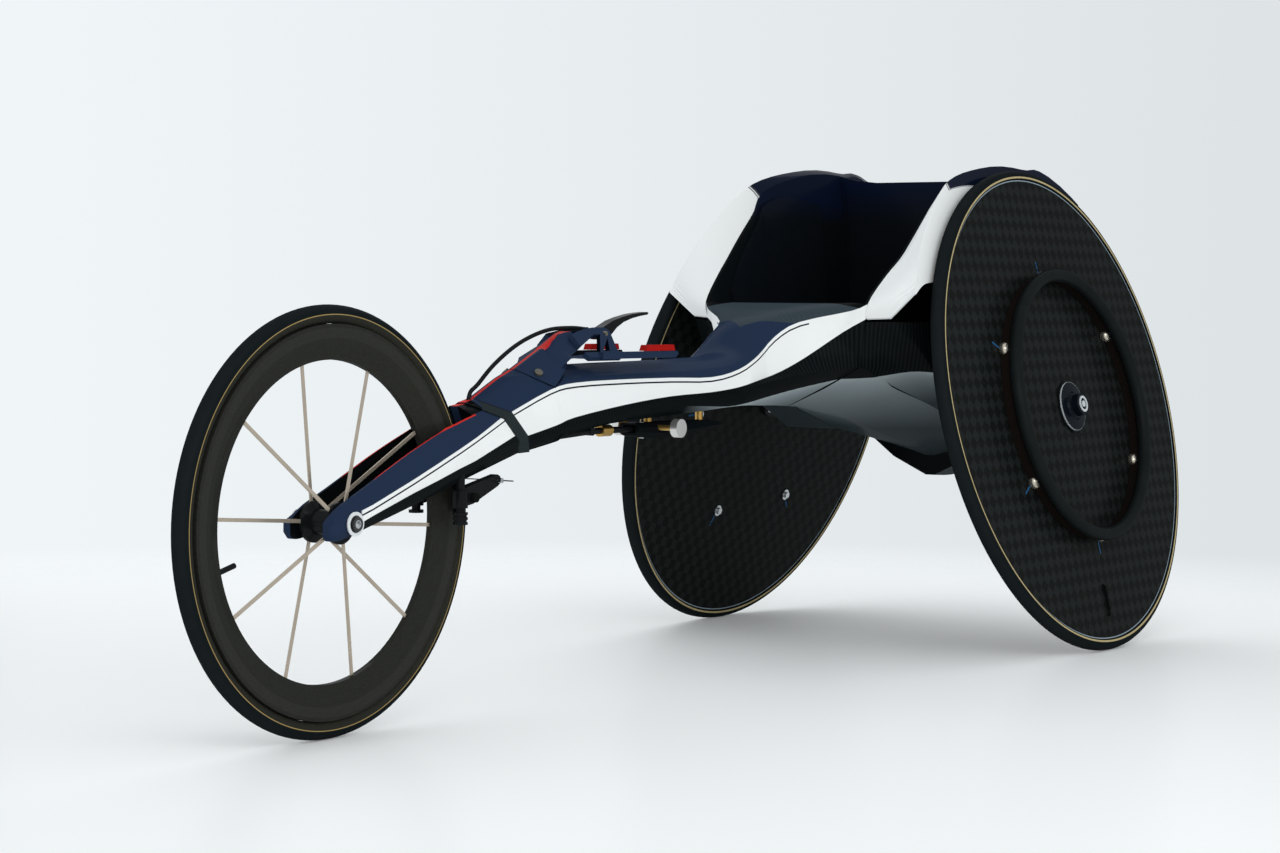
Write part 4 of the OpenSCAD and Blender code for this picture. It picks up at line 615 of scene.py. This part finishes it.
def make_hub_cap():
    """Glossy blue-black cap with a painted highlight round its edge and a pale ring and pin at its end."""
    highlight_r, ring_r, ring_n, groove_pitch = 0.0338, 0.0113, 0.0333, 0.0012
    f = Finish("hub_cap", coat_weight=0.14, coat_roughness=0.08, specular_ior_level=0.0)
    r, _, n = f.wheel()[2:]
    ring = n.past(ring_n, 0.0002) & (1 - r.past(ring_r, 0.0002))
    tone = f.noise(160.0)
    dark = f.mix(tone * 0.5, rgb(11, 15, 22), rgb(22, 28, 38))
    # The pale band round the cap's outer edge is a painted highlight; the ring and pin at its end are pale
    # metal
    pale = r.past(highlight_r, 0.0003) | ring
    f.give(base_color=f.mix(pale, dark, rgb(196, 202, 204)), roughness=0.3 + tone * 0.1)
    f.bump(r.waves(groove_pitch), 0.1, 0.0002)
    return f.material


def make_axle_bolt():
    """Front axle end: white ring, black ring and a bright hex."""
    ring_r, hex_r = 0.0095, 0.0045
    f = Finish("axle_bolt")
    r, _ = f.front()
    tone = f.noise(200.0)
    pale = f.mix(tone * 0.3, rgb(226, 230, 232), rgb(196, 200, 203))
    hex_end = 1 - r.past(hex_r, 0.0003)
    colour = f.mix(r.past(ring_r, 0.0003), rgb(22, 24, 26), pale)
    colour = f.mix(hex_end, colour, rgb(188, 190, 192))
    f.give(base_color=colour, roughness=0.3 + tone * 0.15, metallic=hex_end)
    f.bump(tone, 0.1, 0.0002)
    return f.material


def make_sleeve():
    """Black cable sleeve: a fine spiral of wire showing through satin plastic."""
    spiral_pitch = 0.0016
    f = Finish("cable_sleeve", coat_weight=0.12, coat_roughness=0.25, specular_ior_level=0.0)
    spiral = (f.x * 0.8 - f.z * 0.6 + f.y * 0.3).waves(spiral_pitch)
    tone = f.noise(200.0, 4.0)
    colour = f.mix(tone * 0.5 + spiral * 0.2, rgb(16, 17, 18), rgb(32, 34, 35))
    f.give(base_color=colour, roughness=tone * 0.2 + 0.3)
    f.bump(spiral, 0.15, 0.0002)
    return f.material


def smooth_show(node, angle):
    """Joins a node's loose triangles for display and keeps edges sharper than the angle."""
    o = nodes[node]
    o.modifiers.new("weld", "WELD").merge_threshold = WELD_GAP
    o.modifiers.new("edges", "EDGE_SPLIT").split_angle = math.radians(angle)
    o.data.shade_smooth()


def dress(material, *names):
    """Gives the named nodes one material."""
    for name in names:
        slots = nodes[name].data.materials
        slots.clear()
        slots.append(material)


def both(*names):
    """The left and the right node of each name."""
    return [side + name for side in ("left_", "right_") for name in names]


# Angles in degrees past which an edge stays sharp, and the gap under which points are one, in metres
SOFT_SHELLS = ("main_beam", "left_wing", "right_wing", "seat_tub", "tail_fairing")
SOFT_ANGLE, SHARP_ANGLE, SLEEVE_ANGLE = 62.0, 32.0, 40.0
WELD_GAP = 0.00001

black = make_satin("black_anodised", rgb(16, 18, 19), rgb(30, 33, 35), rough=0.36, coat=0.15)
silver = make_turned("turned_silver", rgb(196, 198, 200), rgb(160, 163, 166), 0.22)
brass = make_turned("turned_brass", rgb(196, 158, 88), rgb(160, 124, 60), 0.26)
hoop_brown = make_satin("hoop_brown", rgb(28, 23, 20), rgb(18, 16, 15), rough=0.4, grain=40.0, coat=0.1)
grip_red = make_satin("grip_red", rgb(172, 26, 22), rgb(122, 15, 15), rough=0.5, grain=90.0, coat=0.05)
pad_rubber = make_satin("pad_rubber", rgb(18, 18, 18), rgb(32, 32, 32), rough=0.65, grain=90.0)
dark_steel = make_satin("dark_steel", rgb(112, 108, 98), rgb(66, 64, 60), metal=0.6)
warm_steel = make_satin("warm_steel", rgb(188, 176, 160), rgb(140, 128, 114), rough=0.3, metal=0.5, grain=60.0)
nickel = make_satin("collar_nickel", rgb(214, 206, 190), rgb(150, 140, 122), rough=0.24, metal=0.9, grain=160.0)
cap = make_hub_cap()
dress(make_beam_paint(), "main_beam")
dress(make_fender_paint(), *both("fender"))
dress(make_fork_paint(), "fork")
dress(make_bar_paint(), "handlebar")
for side, turn in STANDOFF_TURN.items():
    dress(make_disc_cloth(side, turn), side + "_disc")
dress(make_rear_tyre(), *both("tyre"))
dress(make_front_tyre(), "front_tyre")
dress(make_rim_carbon(), "front_rim")
dress(make_wing_shell(), *both("wing"))
dress(make_tub_shell(), "seat_tub", "tail_fairing")
dress(make_housing_shell(), "comp_housing")
dress(make_lining(), "side_liners", "seat_back", "seat_lip")
dress(make_handrim_rubber(), *both("handrim"))
dress(hoop_brown, *both("hoop"))
dress(cap, *both("hub_cap"))
dress(make_axle_bolt(), "axle_bolts")
dress(grip_red, "grip_pads")
dress(pad_rubber, *both("brake_pad"))
dress(black, "brake_lever", "brake_studs", "front_hub", "front_valve", "comp_arm", *both("brake_arm", "hub"))
dress(silver, "head_bearings", "steerer", "brake_wire", "front_axle", "front_bearings", "comp_pin",
      *both("axle", "bearings", "standoffs"))
dress(dark_steel, "handlebar_screws", "lever_pin")
dress(warm_steel, "front_spokes")
dress(brass, "comp_spacers", "comp_barrel")
dress(make_limit_screw(), *both("limit_screw"))
for name in nodes:
    smooth_show(name, SOFT_ANGLE if name in SOFT_SHELLS else SHARP_ANGLE)


def add_piece(name, points, faces, material, angle, body):
    """Puts a worked-out surface into the scene, smooth up to the angle, on its body and slot."""
    mesh = bpy.data.meshes.new(name)
    mesh.from_pydata(points.reshape(-1, 3), [], faces)
    mesh.materials.append(material)
    mesh.shade_smooth()
    piece = bpy.data.objects.new(name, mesh)
    scene.collection.objects.link(piece)
    piece.modifiers.new("edges", "EDGE_SPLIT").split_angle = math.radians(angle)
    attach(piece, body)
    return piece


def turned_on_wheel(name, side, radius, angles, profile, material, steps=40):
    """Turned pieces on a rear wheel, each on its own line along the axle.

    A profile of radius and distance outwards is carried round each line:
    point = hub + radius along the spoke at its angle + profile radius in the wheel's plane
    + distance along the axle.
    """
    hand = 1.0 if side == "left" else -1.0
    ahead_way = np.array([1.0, 0.0, 0.0])
    up_way = np.array([0.0, -hand * CAMBER_SIN, CAMBER_COS])
    out_way = np.array([0.0, hand * CAMBER_COS, CAMBER_SIN])
    hub = np.array([REAR_X, hand * HUB_Y, HUB_Z])
    profile = np.asarray(profile)
    angles = np.radians(angles)
    centres = hub + radius * (np.cos(angles)[:, None] * ahead_way + np.sin(angles)[:, None] * up_way)
    turn = np.linspace(0, 2 * np.pi, steps, endpoint=False)
    ring = np.cos(turn)[:, None] * ahead_way + np.sin(turn)[:, None] * up_way
    points = centres[:, None, None] + profile[None, :, None, :1] * ring + profile[None, :, None, 1:] * out_way
    order = np.arange(len(angles) * len(profile) * steps).reshape(len(angles), len(profile), steps)
    after = np.roll(order, -1, axis=2)
    quads = np.stack([order[:, :-1], after[:, :-1], after[:, 1:], order[:, 1:]], axis=-1).reshape(-1, 4)
    faces = (quads if side == "left" else quads[:, ::-1]).tolist()
    add_piece(side + name, points, faces, material, SHARP_ANGLE, side + "_wheel")


# Profiles of the standoffs' collars and of the hub caps' knobs: radius and distance outwards, in metres
COLLAR = [(0.0055, 0.0086), (0.0074, 0.009), (0.0089, 0.0115), (0.0094, 0.0145), (0.0089, 0.0175),
          (0.0074, 0.02), (0.0055, 0.0204)]
KNOB = [(0.0172, 0.0195), (0.0172, 0.0222), (0.0152, 0.0232), (0.0152, 0.0322), (0.0143, 0.0332),
        (0.0112, 0.0334), (0.0112, 0.0346), (0.0082, 0.0346), (0.0082, 0.0328), (0.0044, 0.0328),
        (0.0044, 0.0346), (0.0004, 0.0346)]
for side, turn in STANDOFF_TURN.items():
    turned_on_wheel("_collars", side, STANDOFF_R, turn + SIXTHS, COLLAR, nickel)
    turned_on_wheel("_knob", side, 0.0, np.zeros(1), KNOB, cap)


def cable_sleeve(route, diameter, steps=8, sides=20):
    """A round tube along the curve through the route's points, which lies in the plane y = 0.

    point = place on the curve + radius * (cosine of the turn sideways + sine of it along the curve's normal)
    """
    path = smooth_rows(route, steps)
    way = np.gradient(path, axis=0)
    way /= np.linalg.norm(way, axis=1)[:, None]
    sideways = np.array([0.0, 1.0, 0.0])
    normal = np.stack([-way[:, 2], np.zeros(len(path)), way[:, 0]], axis=1)
    turn = np.linspace(0, 2 * np.pi, sides, endpoint=False)
    ring = np.cos(turn)[None, :, None] * sideways + np.sin(turn)[None, :, None] * normal[:, None]
    order = np.arange(len(path) * sides).reshape(len(path), sides)
    after = np.roll(order, -1, axis=1)
    quads = np.stack([order[:-1], order[1:], after[1:], after[:-1]], axis=-1).reshape(-1, 4)
    faces = quads.tolist() + [order[0].tolist(), order[-1][::-1].tolist()]
    piece = add_piece("cable_sleeve", path[:, None] + diameter / 2 * ring, faces, make_sleeve(), SLEEVE_ANGLE,
                      "steering")
    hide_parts("brake_cable")


# The brake cable's route, from the lever's stop to the fork
CABLE_D = 0.005
CABLE_ROUTE = [(0.212016, 0, 0.44015), (0.238796, 0, 0.44163), (0.279616, 0, 0.44015), (0.317576, 0, 0.43238),
               (0.354496, 0, 0.41906), (0.391676, 0, 0.39908), (0.420796, 0, 0.37762), (0.4347, 0, 0.368524),
               (0.439312, 0, 0.354067)]
cable_sleeve(CABLE_ROUTE, CABLE_D)

# Camera where the photograph was taken from, in metres and degrees, with its sensor and lens in millimetres
CAMERA_PLACE, CAMERA_TURNS = (3.04109, 2.04436, 0.48193), (214.74, -2.61, 0.47)
SENSOR, LENS = 36.0, 81.28
yaw, pitch, roll = (math.radians(turn) for turn in CAMERA_TURNS)
ahead = Vector((math.cos(pitch) * math.cos(yaw), math.cos(pitch) * math.sin(yaw), math.sin(pitch)))
right = ahead.cross(Vector((0, 0, 1))).normalized()
above = right.cross(ahead)
level = right * math.cos(roll) + above * math.sin(roll)
upright = above * math.cos(roll) - right * math.sin(roll)
camera = bpy.data.objects.new("camera", bpy.data.cameras.new("camera"))
camera.data.sensor_width, camera.data.lens = SENSOR, LENS
camera.matrix_world = Matrix.Translation(CAMERA_PLACE) @ Matrix((level, upright, -ahead)).transposed().to_4x4()
scene.collection.objects.link(camera)
scene.camera = camera


def lamp(name, place, aim, size, power):
    """A soft square lamp at a place, facing a point, with its size in metres and its power in watts."""
    light = bpy.data.lights.new(name, "AREA")
    light.shape, light.size, light.energy = "SQUARE", size, power
    o = bpy.data.objects.new(name, light)
    o.location = place
    o.rotation_euler = (Vector(aim) - Vector(place)).to_track_quat("-Z", "Y").to_euler()
    o.visible_camera = False
    scene.collection.objects.link(o)


lamp("back_wall", (-2.6, -1.9, 2.0), (0.1, 0, 0.05), 3.2, 46.0)
lamp("left_wall", (1.2, 4.0, 1.8), (0, 0, 0.35), 2.6, 36.0)
lamp("front_fill", (3.4, 2.9, 2.4), (0, 0.2, 0.2), 2.4, 42.0)

# A pale backdrop that the camera and reflections see as it is, and softer light from all round
BACKDROP = rgb(240, 245, 248), rgb(222, 227, 230)
BACKDROP_SPREAD, SOFT_LIGHT = 0.4, 0.78
world = bpy.data.worlds.new("studio")
world.use_nodes = True
sky = Nodes(world.node_tree)
direction = sky.node("ShaderNodeTexCoord", out="Generated")
across = sky.node("ShaderNodeVectorMath", {"operation": "DOT_PRODUCT"}, [direction, right], out="Value")
diffuse = sky.node("ShaderNodeLightPath", out="Is Diffuse Ray")
shine = sky.node("ShaderNodeBackground", None, {"Color": sky.mix(across.past(0.0, BACKDROP_SPREAD), *BACKDROP),
                                                "Strength": 1 - diffuse * (1 - SOFT_LIGHT)})
sky.node("ShaderNodeOutputWorld", None, {"Surface": shine})
scene.world = world

# A pale floor under the object that fades into the backdrop all round, in metres from its middle
FLOOR_HALF, FLOOR_MIDDLE, FADE_START, FADE_END = 6.0, (0.42, 0.3), 1.25, 2.6
floor_mesh = bpy.data.meshes.new("floor")
floor_mesh.from_pydata([(x * FLOOR_HALF, y * FLOOR_HALF, 0) for x, y in ((-1, -1), (1, -1), (1, 1), (-1, 1))],
                       [], [(0, 1, 2, 3)])
floor = bpy.data.objects.new("floor", floor_mesh)
scene.collection.objects.link(floor)
floor_paint = Finish("floor_paint", roughness=0.4, specular_ior_level=0.0, coat_weight=0.1, coat_roughness=0.3,
                     emission_color=(1.0, 1.0, 1.0, 1.0), emission_strength=0.08)
floor_x, floor_y = floor_paint.x - FLOOR_MIDDLE[0], floor_paint.y - FLOOR_MIDDLE[1]
away = (floor_x * floor_x + floor_y * floor_y) ** 0.5
fade = ((away - FADE_START) / (FADE_END - FADE_START)).clamped()
floor_tone = floor_paint.mix(floor_paint.noise(0.8) * 0.2, rgb(241, 242, 242), rgb(237, 239, 239))
floor_paint.give(base_color=floor_tone, alpha=1 - fade * fade * (3 - fade * 2))
floor_mesh.materials.append(floor_paint.material)
scene.view_settings.view_transform = "Standard"
